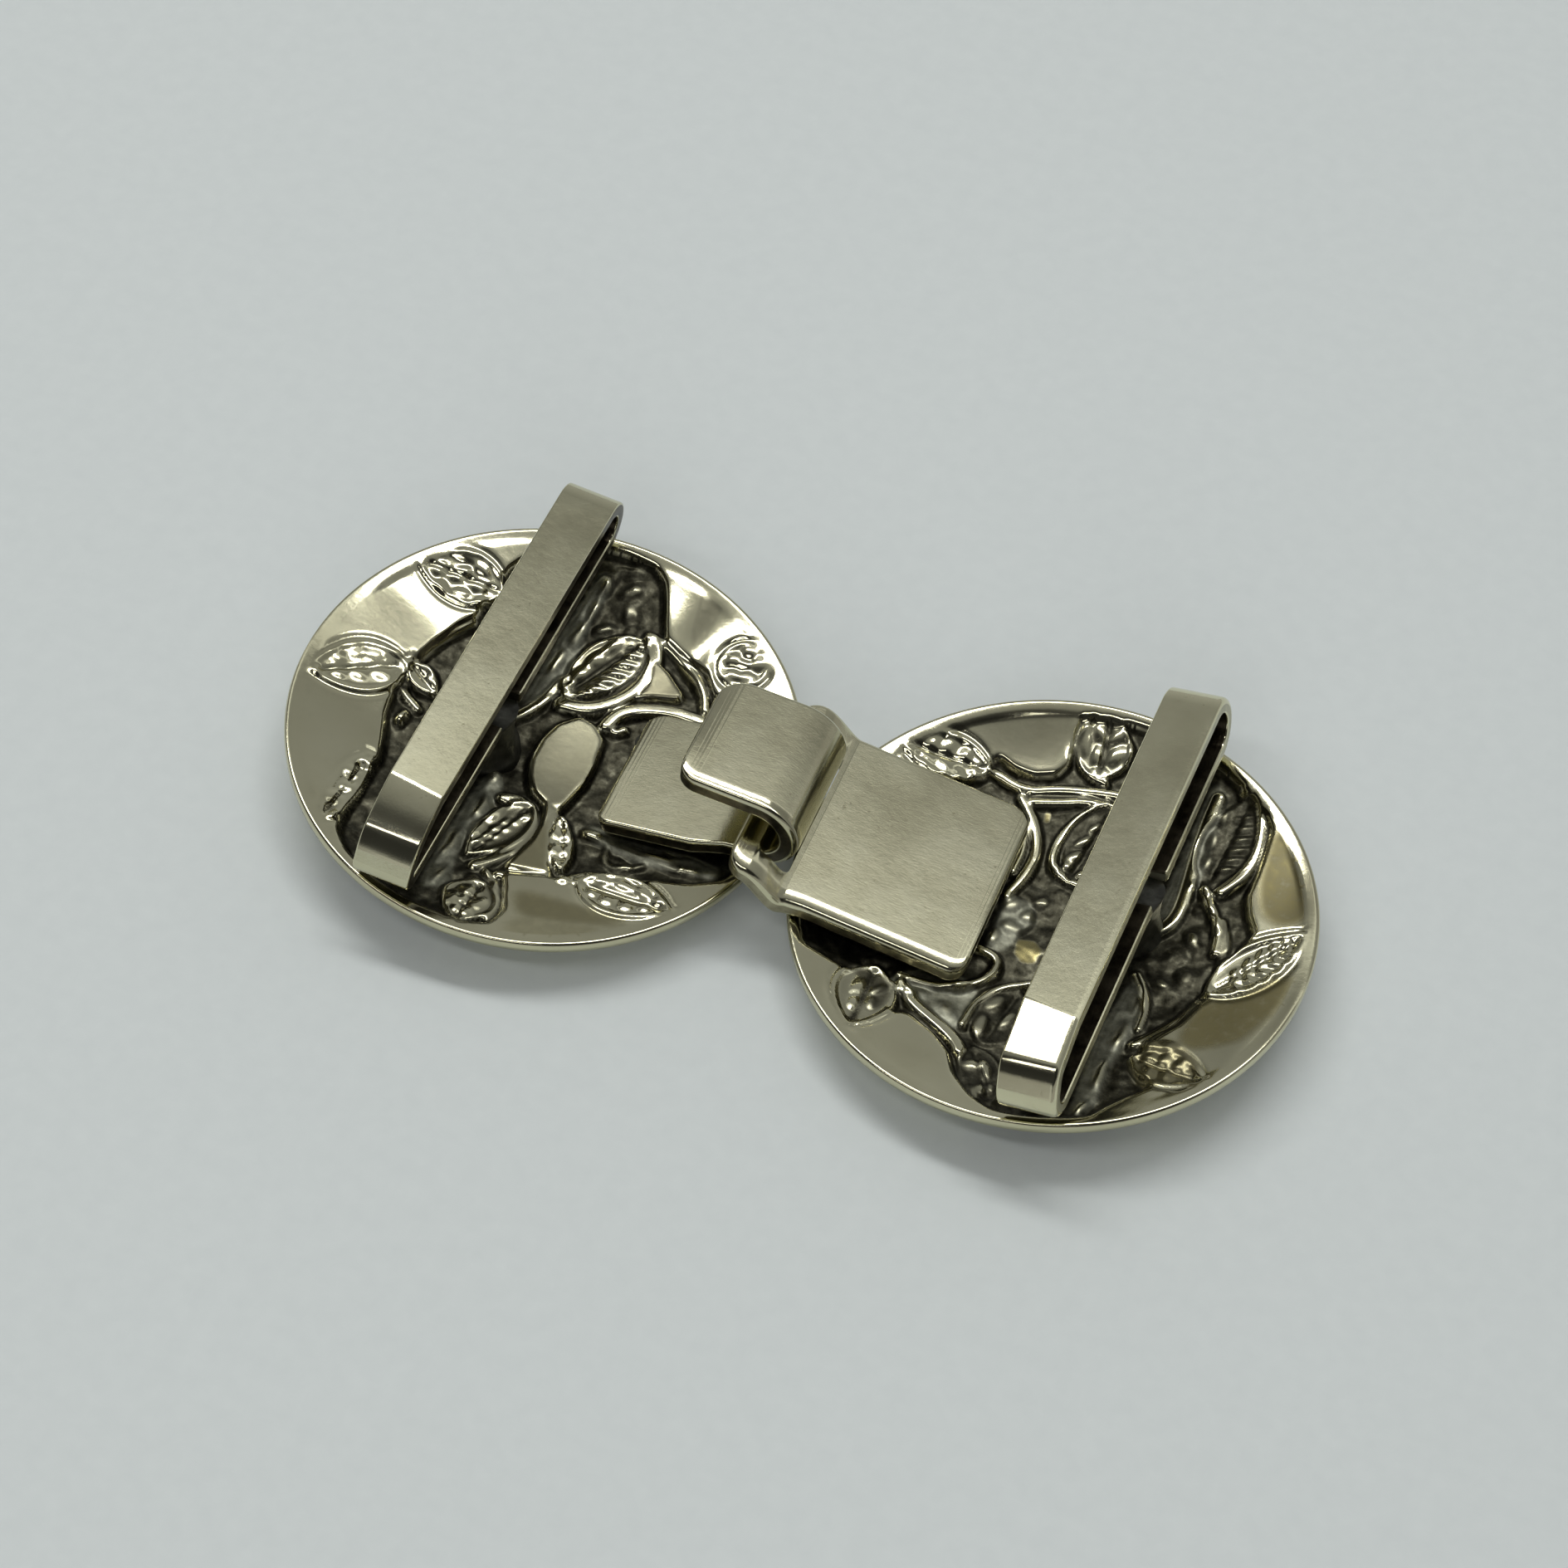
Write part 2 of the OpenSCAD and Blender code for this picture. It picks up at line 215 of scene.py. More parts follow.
def swept_strip(
    line, half, thick, outer_r, inner_r, end_r=0.15, corners=(0, 0, 0, 0), roll=None, far_r=None
):
    """Points (a, across, b), faces and finishes of a strip whose outer face is on the right of
    the line. half is half its width, and corners are the plan radii: near start, far start,
    near end, far end."""
    run = run_of(line)
    length = run[-1]
    marks = list(run[1:-1])
    for r in {end_r, *corners} - {0}:
        for k in range(CORNER_STEPS + 1):
            inward = r * (1 - math.cos(math.radians(90 * k / CORNER_STEPS)))
            marks += [inward, length - inward]
    marks = np.unique(np.round(np.clip(marks, 0, length), 4))
    points = []
    for s, (a, b, heading) in zip(marks, along(line, marks)):
        near = half - max(corner_cut(corners[0], s), corner_cut(corners[2], length - s))
        far = half - max(corner_cut(corners[1], s), corner_cut(corners[3], length - s))
        inset = corner_cut(end_r, min(s, length - s))
        radii = [r and max(r - inset, LEAST_R) for r in (outer_r, inner_r, far_r)]
        ring = section(near - inset, far - inset, thick - 2 * inset, radii[0], radii[1], roll, radii[2])
        left = -math.sin(heading), math.cos(heading)
        points.append(np.stack([a - ring[:, 1] * left[0], ring[:, 0], b - ring[:, 1] * left[1]], axis=1))
    n, last = len(ring), len(points) - 1
    faces = [
        (k * n + i, k * n + (i + 1) % n, (k + 1) * n + (i + 1) % n, (k + 1) * n + i)
        for k in range(last) for i in range(n)
    ]
    kinds = [int(ring[i, 2]) for _ in range(last) for i in range(n)]
    faces += [tuple(range(n))[::-1], tuple(range(last * n, (last + 1) * n))]
    return np.concatenate(points), faces, kinds + [CUT, CUT]

print("half way along a corner of 1 mm it cuts off", round(corner_cut(1, 0.5), 3), "mm")

# %% [markdown]
# ## The ribbon loops
#
# Each loop is one strip, bent round until its ends nearly meet on the underside, where the
# solder holds it. Its near end was pressed over in several goes: a soft crease, a nearly flat
# facet, more bends, a steep flat and then the last tight bend. In the photo every bend is a
# bright or a dark line across the strip, and the lines were used to find the moves. The
# crease is a little askew, which the skew gives.

# %% How a loop is bent
STRIP_THICK = 0.9
STRIP_WIDTH = 3.4
STRIP_OUTER_R = 0.13
STRIP_INNER_R = 0.1
LOOP_TURN = math.radians(-1)
UPPER_RUN = 2.2

def ribbon_loop(name, half_place, x, top, heights, ends, roll, seam, press, skew, edge_r=None):
    """One loop. heights are those of its far and near end, ends their y, and seam is the y of
    the gap's middle and its width. press lists the moves of the near end before its last tight
    bend, and edge_r rounds the right edge more."""
    far_r = (heights[0] - STRIP_THICK) / 2
    far_y = ends[0] - heights[0] / 2
    run, drop, turned = -bent_line((0, 0), 180, press)[-1]
    turned = -turned - math.pi
    near_r = (heights[1] - STRIP_THICK - drop) / (1 + math.cos(turned))
    bend_y = ends[1] + STRIP_THICK / 2 + near_r * (1 - math.sin(turned))
    seam_y, seam_gap = seam
    start = seam_y + seam_gap / 2
    line = bent_line((start, top - heights[0] + STRIP_THICK / 2), 0, [
        (far_y - start,),
        (far_r, 180),
        (far_y - bend_y - run,),
        *press,
        (near_r, 180 - math.degrees(turned)),
        (seam_y - seam_gap / 2 - bend_y - near_r * math.sin(turned),),
    ])
    print(name, "takes", run_of(line)[-1].round(1), "mm of strip; last bend's radius:", round(near_r, 2))
    points, faces, kinds = swept_strip(
        line, STRIP_WIDTH / 2, STRIP_THICK, STRIP_OUTER_R, STRIP_INNER_R, far_r=edge_r
    )
    pressed = (points[:, 2] > top - UPPER_RUN) * (points[:, 0] < bend_y + run + 0.6)
    pull = eased((points[:, 0] - bend_y - 0.2) / (run - 0.4)) * pressed
    points[:, 0] -= skew * points[:, 1] / (STRIP_WIDTH / 2) * pull
    middle = top - heights[1] / 2
    points = points[:, [1, 0, 2]] - [0, 0, middle]
    turn = Matrix.Rotation(LOOP_TURN, 4, "Z") @ Matrix.Rotation(math.radians(roll), 4, "Y")
    stand = np.array(Matrix.Translation((x, 0, middle)) @ turn)
    return make_piece(name, moved(moved(points, stand), half_place), faces, kinds=kinds)

# %% Bend the two loops
hook_loop = ribbon_loop(
    "hook_ribbon_loop", HOOK_PLACE, x=-3.6, top=4.5, heights=(3.8, 4.1), ends=(14.95, -14.35),
    roll=0, seam=(-0.7, 2.4), press=[(1.2, 12), (11.4, 14), (1.0, 6), (2.8, 22), (1.5, 8), (0.68,)],
    skew=0.2,
)
eye_loop = ribbon_loop(
    "eye_ribbon_loop", EYE_PLACE, x=3.7, top=4.7, heights=(4.2, 4.2), ends=(14.95, -14.75),
    roll=-9, seam=(1.9, 2.4), press=[(1.2, 10), (2.95,), (0.8, 18), (1.6, 28), (0.65,)],
    skew=0.35, edge_r=0.35,
)

# %% [markdown]
# ## The hook plate
#
# The hook starts as a tongue on the disc's back, runs up over the rim, turns round in a tight
# bend and ends in a short flat tab. The tongue is slightly wider than the bend, as if the
# waist had been filed, so the strip is drawn in once it is swept.

# %% Bend the hook
PLATE_THICK = 1.25
BEND_X, BEND_Z, BEND_R = 14.1, 3.25, 2.8 - PLATE_THICK / 2
SLOPE = 14
TONGUE_RUN = 9.9
TAB_END = 9.2
TONGUE_HALF = 4.3
HOOK_HALF = 3.9
WAIST_START, WAIST_RUN = 10.8, 1.8
TAB_LEVEL = 2.2

slope = math.radians(SLOPE)
hook_start = (
    BEND_X + BEND_R * math.sin(slope) - TONGUE_RUN * math.cos(slope),
    BEND_Z - BEND_R * math.cos(slope) - TONGUE_RUN * math.sin(slope),
)
hook_line = bent_line(hook_start, SLOPE, [(TONGUE_RUN,), (BEND_R, 180 - SLOPE), (BEND_X - TAB_END,)])
print("the hook's strip is", run_of(hook_line)[-1].round(1), "mm long when flat")
points, faces, kinds = swept_strip(
    hook_line, TONGUE_HALF, PLATE_THICK, 0.32, 0.24,
    end_r=0.28, corners=(0.8, 1.2, 1.3, 1.9), roll=(2.4, 14),
)
waist = TONGUE_HALF - (TONGUE_HALF - HOOK_HALF) * eased((points[:, 0] - WAIST_START) / WAIST_RUN)
points[:, 1] *= np.where(points[:, 2] > TAB_LEVEL, HOOK_HALF, waist) / TONGUE_HALF
hook_plate = make_piece("hook_plate", moved(points, HOOK_PLACE), faces, kinds=kinds)

# %% [markdown]
# ## The eye plate
#
# The plate rises from the disc, and its outer end is raised in a step, so that the end bar
# lies inside the hook. It is cambered by a few hundredths of a millimetre, which is why it
# grows brighter towards the camera, and the near rail bulges a little. The bar and the two
# rails are left when the slot is punched out with a Boolean modifier, which is then applied.

# %% Shape the eye plate
EYE_HALF = 6.2
EYE_START, EYE_END = -3.2, -17.3
EYE_SLOPE = math.radians(10.5)
STEP_X, STEP_RUN, STEP_RISE = -14, 2.2, 1.7
BULGE_X, BULGE_RUN, BULGE = -13.3, 1.3, 0.06
CAMBER = 0.0034

def eye_top(x):
    """Height of the plate's top along the clasp."""
    return -0.4 + (EYE_START - x) * math.tan(EYE_SLOPE) + STEP_RISE * eased((STEP_X - x) / STEP_RUN)

xs = np.concatenate([
    np.linspace(EYE_START, -13.8, 12), np.linspace(STEP_X, STEP_X - STEP_RUN, 17), [-16.7, EYE_END]
])
tops = eye_top(xs)
headings = np.arctan2(np.gradient(tops), np.gradient(xs))
line = np.stack([xs, tops - PLATE_THICK / 2, headings], axis=1)
print("the eye plate is", run_of(line)[-1].round(1), "mm long when flat")
points, faces, kinds = swept_strip(
    line, EYE_HALF, PLATE_THICK, 0.36, 0.25,
    end_r=0.3, corners=(1.1, 1.6, 1.2, 1.2), roll=(2.6, 14),
)
points[:, 1] *= 1 + BULGE * eased((BULGE_X - points[:, 0]) / BULGE_RUN) * (points[:, 1] < 0)
points[:, 2] -= CAMBER * points[:, 1] ** 2
eye_plate = make_piece("eye_plate", moved(points, EYE_PLACE), faces, kinds=kinds)

# %% Punch the slot
SLOT_X = (-15.9, -14.17)
SLOT_Y = (-4.85, 4.35)
SLOT_R = 0.45
PUNCH_Z = (-5, 10)

def rounded_block(x0, x1, y0, y1, r, z0, z1):
    """Points and faces of an upright block with round corners."""
    ring = []
    centres = (x1 - r, y1 - r), (x0 + r, y1 - r), (x0 + r, y0 + r), (x1 - r, y0 + r)
    for k, (cx, cy) in enumerate(centres):
        for angle in (math.radians(90 * k + 15 * i) for i in range(7)):
            ring.append((cx + r * math.cos(angle), cy + r * math.sin(angle)))
    n = len(ring)
    points = [(x, y, z) for z in (z0, z1) for x, y in ring]
    faces = [(i, (i + 1) % n, n + (i + 1) % n, n + i) for i in range(n)]
    return points, faces + [tuple(range(n))[::-1], tuple(range(n, 2 * n))]

points, faces = rounded_block(*SLOT_X, *SLOT_Y, SLOT_R, *PUNCH_Z)
punch = make_piece("slot_punch", moved(points, EYE_PLACE), faces, weighted=False)
cut = eye_plate.modifiers.new("slot", "BOOLEAN")
cut.operation = "DIFFERENCE"
cut.object = punch
cut.solver = "EXACT"

# %% Break its edges, and apply both
soften = eye_plate.modifiers.new("broken edge", "BEVEL")
soften.limit_method = "ANGLE"
soften.angle_limit = math.radians(50)
soften.width = 0.1 * MM
soften.segments = 2
# The weighted normals come last, so the two new modifiers move up before them.
for _ in range(2):
    eye_plate.modifiers.move(2, 0)
bpy.context.view_layer.objects.active = eye_plate
with bpy.context.temp_override(object=eye_plate, active_object=eye_plate):
    bpy.ops.object.modifier_apply(modifier="slot")
    bpy.ops.object.modifier_apply(modifier="broken edge")
bpy.data.objects.remove(punch)
eye_plate.data.polygons.foreach_set("use_smooth", [True] * len(eye_plate.data.polygons))
print("eye plate after punching:", len(eye_plate.data.polygons), "faces")

# %% [markdown]
# ## A height map for the cast relief
#
# The discs were pressed or cast with a spray of leaves. Seen from the back, the ground behind
# the spray is sunk, and leaves, buds and stems stand in it. Sculpting would do, but every
# shape is simple when written as a height over a flat map, and then it can be measured and
# moved like the rest. The map is later wrapped onto the dish.

# %% The map and its tools
PITCH = 0.045
HALF_MAP = 15.3
ticks = np.arange(-HALF_MAP, HALF_MAP + PITCH / 2, PITCH)
MAP_X, MAP_Y = np.meshgrid(ticks, ticks)
waves = np.fft.rfftfreq(len(ticks), PITCH), np.fft.fftfreq(len(ticks), PITCH)
WAVE_SQUARED = waves[0][None, :] ** 2 + waves[1][:, None] ** 2

def blurred(image, mm):
    """The map blurred by this many millimetres."""
    fade = np.exp(-2 * (math.pi * mm) ** 2 * WAVE_SQUARED)
    return np.fft.irfft2(np.fft.rfft2(image) * fade, s=image.shape)

def grain(seed, mm):
    """Even noise with lumps of about this size, always the same for one seed."""
    noise = blurred(np.random.default_rng(seed).normal(size=MAP_X.shape), mm)
    return noise / noise.std()

def inside(outline):
    """1 inside a closed outline, 0 outside."""
    odd = np.zeros(MAP_X.shape, bool)
    for (x0, y0), (x1, y1) in zip(outline, outline[1:] + outline[:1]):
        if y0 != y1:
            crosses = (MAP_Y < y0) != (MAP_Y < y1)
            odd ^= crosses & (MAP_X < x0 + (MAP_Y - y0) * (x1 - x0) / (y1 - y0))
    return odd.astype(float)

print("the map has", MAP_X.shape, "cells")

# %% Only a part of it
def window(x, y, reach):
    """The part of the map within reach of a point."""
    low = [int(max((c - reach + HALF_MAP) / PITCH, 0)) for c in (y, x)]
    high = [int(max((c + reach + HALF_MAP) / PITCH + 2, 0)) for c in (y, x)]
    return slice(low[0], high[0]), slice(low[1], high[1])

def turned_to(part, x, y, degrees):
    """Map coordinates measured from a point, along a direction and across it."""
    c, s = math.cos(math.radians(degrees)), math.sin(math.radians(degrees))
    return (MAP_X[part] - x) * c + (MAP_Y[part] - y) * s, (MAP_Y[part] - y) * c - (MAP_X[part] - x) * s

def lowest_highest(draw, *shape):
    """How low and how high a shape is when it is drawn on a flat map."""
    trial = np.zeros(MAP_X.shape)
    draw(trial, *shape)
    return trial.min().round(2), trial.max().round(2)

print("a window of 1 mm has", MAP_X[window(0, 0, 0.5)].shape, "cells")

# %% [markdown]
# ## Lumps, leaves and ridges
#
# Three shapes make nearly everything in the spray. A lump is a small oval dome, which serves
# for the fields between a leaf's veins, the beads and the petals of a bud. A leaf is an
# almond-shaped floor with a raised lip and a groove round it. A ridge is a line with a rounded
# top, which can be narrow like a stem or a broad flat band like the border of the big leaf. A
# ring is the round dish of a single bud. Separate meshes for all these would meet in sharp
# corners. On one height map they run into each other as cast metal does.

# %% A lump
def add_lumps(height, lumps, rise=0.16, bold=1.4):
    """Raises oval domes. Each is x, y, length, width and direction in degrees, all drawn bold
    times as large. A narrow one is lower."""
    for x, y, length, width, turn in lumps:
        length, width = bold * length, bold * width
        part = window(x, y, length)
        u, v = turned_to(part, x, y, turn)
        q = (2 * u / length) ** 2 + (2 * v / width) ** 2
        height[part] += rise * np.clip(1 - q, 0, 1) * min(1, width / 0.6)

print("a lump of 1 mm lies between", *lowest_highest(add_lumps, [(0, 0, 1, 1, 0)]))

# %% A leaf's floor and lip
VEIN_DEPTH, VEIN_WIDTH = 0.16, 0.14
LIP_WIDTH = 0.17
GROOVE = 0.6

def add_leaf(height, x, y, length, width, tip, level, lip):
    """Draws an almond with its middle at x, y, and a sunk vein along it. Its tip points in the
    direction tip, in degrees. level is the height of its floor, lip that of its edge."""
    part = window(x, y, length / 2 + 1)
    u, v = turned_to(part, x, y, tip)
    t = np.clip(2 * u / length, -1, 1)
    half = width / 2 * (1 - t * t) ** 0.8 * (1 - 0.18 * t)
    beyond = np.maximum(np.abs(v) - half, np.abs(u) - length / 2)
    within = eased(-beyond / 0.25 + 0.5)
    vein = VEIN_DEPTH * np.exp(-(v / VEIN_WIDTH) ** 2) * within * (np.abs(u) < 0.4 * length)
    height[part] = height[part] * (1 - within) + level * within - vein
    height[part] += lip * np.exp(-((beyond + 0.06) / LIP_WIDTH) ** 2)
    height[part] -= GROOVE * lip * np.exp(-((beyond - 0.36) / LIP_WIDTH) ** 2)

print("a leaf on flat ground lies between", *lowest_highest(add_leaf, 0, 0, 4, 2, 0, 0, 0.15))

# %% A ridge
RIDGE_REACH = 1.0

def gap_to(points, reach):
    """Distance to a line of points, and the window in which it is worked out."""
    xs, ys = zip(*points)
    x, y = (min(xs) + max(xs)) / 2, (min(ys) + max(ys)) / 2
    part = window(x, y, max(max(xs) - min(xs), max(ys) - min(ys)) / 2 + reach)
    least = np.full(MAP_X[part].shape, 99.0)
    for (x0, y0), (x1, y1) in zip(points, points[1:]):
        run = np.array([x1 - x0, y1 - y0])
        t = np.clip(((MAP_X[part] - x0) * run[0] + (MAP_Y[part] - y0) * run[1]) / (run @ run), 0, 1)
        least = np.minimum(least, np.hypot(MAP_X[part] - x0 - t * run[0], MAP_Y[part] - y0 - t * run[1]))
    return part, least

def smooth_line(points, rounds=3):
    """A line with its corners cut again and again until it is a curve."""
    points = [np.array(p, float) for p in points]
    for _ in range(rounds):
        new = [points[0]]
        for p, q in zip(points, points[1:]):
            new += [0.75 * p + 0.25 * q, 0.25 * p + 0.75 * q]
        points = new + [points[-1]]
    return [tuple(p) for p in points]

def add_ridge(height, top, flat, points):
    """Raises a ridge to the height top, with a flat of this half width and rounded sides."""
    part, gap = gap_to(smooth_line(points), flat + RIDGE_REACH + 0.2)
    beyond = np.maximum(gap - flat, 0)
    ridge = top - 0.7 * (beyond / 0.34) ** 2
    height[part] = np.maximum(height[part], np.where(beyond < RIDGE_REACH, ridge, -9))

print("a corner of two lines becomes", len(smooth_line([(0, 0), (1, 0), (1, 1)])), "points")

# %% A ring round a bud
def add_ring(height, x, y, radius):
    """Sinks a round dish with a narrow groove at its edge and a lip just inside."""
    part = window(x, y, radius + 1)
    gap = np.hypot(MAP_X[part] - x, MAP_Y[part] - y) - radius
    height[part] -= 0.12 * eased(-gap / 0.3 + 0.5) + 0.10 * np.exp(-(gap / 0.14) ** 2)
    height[part] += 0.10 * np.exp(-((gap + 0.3) / 0.16) ** 2)

print("a ring lies between", *lowest_highest(add_ring, 0, 0, 1.75))

# %% [markdown]
# ## The two sprays
#
# These lists chart each spray, seen from the back, in millimetres from the disc's middle.
# They are short because the shapes above do the work. The order is the order of drawing: sunk
# ground with its islands, ridges, leaf floors, rings, and lumps on top.

# %% The hook half's ground
HOOK_GROUND = [
    (-9.2, 2.3), (-8.7, 4.0), (-8.0, 5.6), (-7.3, 6.7), (-6.8, 10.4), (-5.2, 13.2), (-3, 14.1),
    (-1, 14.4), (1.0, 14.1), (1.9, 13.3), (2.4, 12.2), (2.9, 11.0), (3.5, 9.8), (5.2, 9.2), (6.7, 8.5),
    (7.4, 7.4), (8.8, 6.6), (11.5, 4), (13.6, 0), (13.8, -4.0), (13.2, -5.1), (11.4, -6.0), (9.4, -6.4),
    (7.6, -6.7), (6.0, -7.0), (5.2, -7.6), (4.3, -8.35), (2.9, -8.8), (1.4, -9.25), (2.0, -10.4),
    (2.5, -12.0), (2.4, -13.3), (1.2, -13.9), (-1.0, -14.0), (-4, -13.8), (-6.4, -12.9), (-7.8, -11.2),
    (-8.1, -9.4), (-8.2, -7.3), (-8.0, -5.2), (-8.5, -3.7), (-9.1, -2.1), (-9.4, -0.4), (-9.4, 0.8),
]
HOOK_ISLANDS = [
    [
        (0.9, 3.3), (2.0, 3.1), (2.9, 2.3), (3.15, 0.6), (3.15, -1.4), (2.8, -2.9), (2.6, -3.8),
        (2.6, -5.2), (3.0, -6.4), (3.6, -7.5), (4.2, -8.2), (2.9, -8.6), (1.3, -8.95), (1.6, -7.6),
        (1.95, -6.2), (1.95, -4.9), (1.5, -3.6), (0.5, -3.0), (-0.2, -2.0), (-0.6, -0.8), (-0.6, 0.8),
        (-0.2, 2.2),
    ],
    [(3.2, 8.6), (4.6, 8.1), (5.9, 7.0), (6.0, 6.4), (4.7, 6.1), (3.2, 5.4), (3.7, 6.9)],
    [(-8.3, -0.8), (-7.9, -1.6), (-8.2, -2.5), (-8.7, -1.9)],
]
HOOK_RIDGES = [
    (-0.16, 0.10, [(-9.2, 2.4), (-8.6, 4.4), (-7.4, 6.4)]),
    (-0.30, 0.15, [(-9.5, 1.0), (-9.0, 0.0), (-7.8, -0.6)]),
    (-0.10, 0.30, [
        (2.7, 9.6), (3.4, 8.7), (3.5, 7.4), (3.1, 6.0), (2.2, 4.8), (1.0, 3.9), (-0.5, 3.7),
    ]),
    (-0.20, 0.12, [(2.4, 9.9), (4.2, 9.5), (5.9, 8.6), (7.1, 7.3), (7.5, 6.3)]),
    (-0.08, 0.24, [(2.5, 3.3), (2.9, 4.4), (4.2, 5.2), (5.6, 5.6), (7.6, 5.5)]),
    (-0.25, 0.10, [(2.5, 3.5), (3.2, 3.0), (3.6, 3.5)]),
    (-0.22, 0.20, [(-3.2, 1.0), (-2.1, 2.3), (-1.4, 3.8), (-1.1, 5.2)]),
    (-0.18, 0.22, [
        (-0.8, -4.0), (0.2, -3.7), (1.1, -4.1), (1.6, -5.2), (1.5, -6.7), (0.9, -8.1), (-0.2, -9.4),
    ]),
    (-0.20, 0.12, [(0.6, -9.6), (1.6, -10.4), (2.1, -11.6), (2.2, -13.0)]),
    (-0.08, 0.10, [(1.3, -9.5), (3.1, -9.0), (4.9, -8.4)]),
    (-0.36, 0.22, [(4.6, -4.2), (7.0, -4.5), (10.5, -4.9)]),
    (-0.42, 0.10, [(6.1, -4.7), (6.3, -6.0), (7.4, -6.2), (8.5, -5.3)]),
]

print("the hook half's ground has", len(HOOK_ISLANDS), "islands and", len(HOOK_RIDGES), "ridges")

# %% The hook half's leaves, petals and beads
HOOK_LEAVES = [
    (-11.8, -0.1, 5.8, 3.2, 217, -0.06, 0.15),
    (-9.2, 8.6, 5.6, 3.2, 185, -0.10, 0.14),
    (0.8, 6.9, 6.2, 3.3, 240, -0.30, 0.10),
    (8.5, -8.35, 5.7, 3.0, -3, -0.07, 0.15),
    (0.0, -6.3, 5.6, 2.5, 250, -0.30, 0.10),
    (3.6, -5.8, 4.4, 1.5, 112, -0.12, 0.10),
    (-8.75, -8.4, 6.0, 1.5, 268, -0.10, 0.08),
    (-8.3, 1.3, 2.6, 1.6, 330, -0.15, 0.12),
    (0.65, -12.2, 3.7, 3.2, 265, -0.26, 0.10),
]
HOOK_BEADS = [
    # the leaf at the left: two rows of worn, low beads
    (-13.1, -0.1, 0.8, 0.65, 40), (-12.4, 0.75, 1.0, 0.7, 40), (-11.45, 1.3, 1.1, 0.7, 30),
    (-10.5, 1.75, 0.8, 0.5, 25), (-12.6, -1.1, 0.7, 0.6, 0), (-11.65, -0.45, 0.85, 0.75, 0),
    (-10.5, 0.3, 0.95, 0.8, 0),
]
HOOK_LUMPS = [
    # the bead at the left leaf's tip
    (-13.75, -1.75, 0.65, 0.6, 0),
    # the crumpled leaf behind the loop
    (-11.6, 8.5, 0.9, 0.6, 70), (-10.9, 9.4, 1.1, 0.6, 40), (-9.6, 9.8, 1.3, 0.6, 10),
    (-8.3, 9.6, 1.0, 0.7, -20), (-10.6, 8.3, 1.0, 0.8, 60), (-9.3, 8.7, 1.2, 0.7, 50),
    (-8.0, 8.5, 0.9, 0.9, 0), (-10.0, 7.4, 0.9, 0.6, -30), (-8.8, 7.5, 1.1, 0.6, 20),
    (-7.6, 7.6, 0.8, 0.7, 0),
    # the big leaf: narrow ribs on its right, broad ones on its left
    (2.15, 8.9, 0.9, 0.36, 5), (1.95, 8.25, 1.1, 0.38, 10), (1.85, 7.55, 1.2, 0.40, 15),
    (1.65, 6.8, 1.2, 0.40, 15), (1.35, 6.1, 1.15, 0.40, 20), (0.95, 5.45, 1.0, 0.38, 25),
    (0.5, 4.85, 0.7, 0.34, 25), (0.75, 8.5, 1.3, 0.6, 62), (0.15, 7.3, 1.3, 0.7, 62),
    (-0.3, 6.0, 1.2, 0.7, 64), (-0.5, 4.9, 0.8, 0.5, 66),
    # the leaf at the lower right
    (6.9, -7.6, 0.9, 0.5, 10), (8.1, -7.45, 1.2, 0.6, -12), (9.4, -7.65, 1.1, 0.55, -22),
    (10.4, -8.0, 0.6, 0.4, -25), (6.7, -8.75, 0.6, 0.55, 0), (7.7, -8.95, 0.75, 0.65, 0),
    (8.9, -9.0, 0.8, 0.7, 0), (9.95, -8.75, 0.7, 0.6, 0),
    # the leaf below the oval
    (0.75, -4.85, 0.9, 0.45, 35), (0.35, -5.5, 1.0, 0.45, 35), (0.05, -6.2, 1.1, 0.45, 35),
    (-0.25, -6.9, 1.0, 0.42, 35), (-0.6, -7.6, 0.9, 0.4, 35), (-0.7, -5.4, 1.3, 0.5, 75),
    (-1.1, -7.0, 1.2, 0.4, 75),
    # the pod beside it, the chain of beads at the left, and the node of a stem
    (3.2, -4.2, 0.85, 0.75, 0), (3.4, -5.2, 0.95, 0.85, 0), (3.75, -6.3, 0.95, 0.85, 0),
    (4.15, -7.3, 0.8, 0.65, 0), (-8.55, -6.0, 0.6, 0.6, 0), (-8.95, -7.0, 0.8, 0.7, 60),
    (-8.75, -8.1, 0.75, 0.6, 60), (-9.0, -9.3, 0.9, 0.7, 70), (-8.55, -10.6, 0.7, 0.6, 60),
    (4.9, -8.4, 0.8, 0.6, 0), (-8.3, 2.0, 0.9, 0.7, 0), (-7.7, 1.2, 1.0, 0.7, 120),
    # the bud at the bottom and the bud at the top right
    (-0.2, -12.5, 1.0, 0.8, 90), (0.45, -11.5, 1.0, 0.7, 0), (1.3, -12.2, 1.0, 0.7, 70),
    (0.65, -13.1, 1.1, 0.6, 0), (0.55, -12.3, 0.7, 0.6, 0), (0.2, -10.3, 0.9, 0.5, 20),
    (7.8, 9.9, 0.9, 0.8, 0), (8.5, 10.7, 0.9, 0.7, 0), (9.25, 10.1, 1.0, 0.8, 60),
    (9.0, 9.0, 0.9, 0.8, 0), (8.1, 8.9, 0.8, 0.7, 0), (8.5, 9.8, 0.5, 0.5, 0),
]
print("on it stand", len(HOOK_LEAVES), "leaves and", len(HOOK_LUMPS) + len(HOOK_BEADS), "lumps")

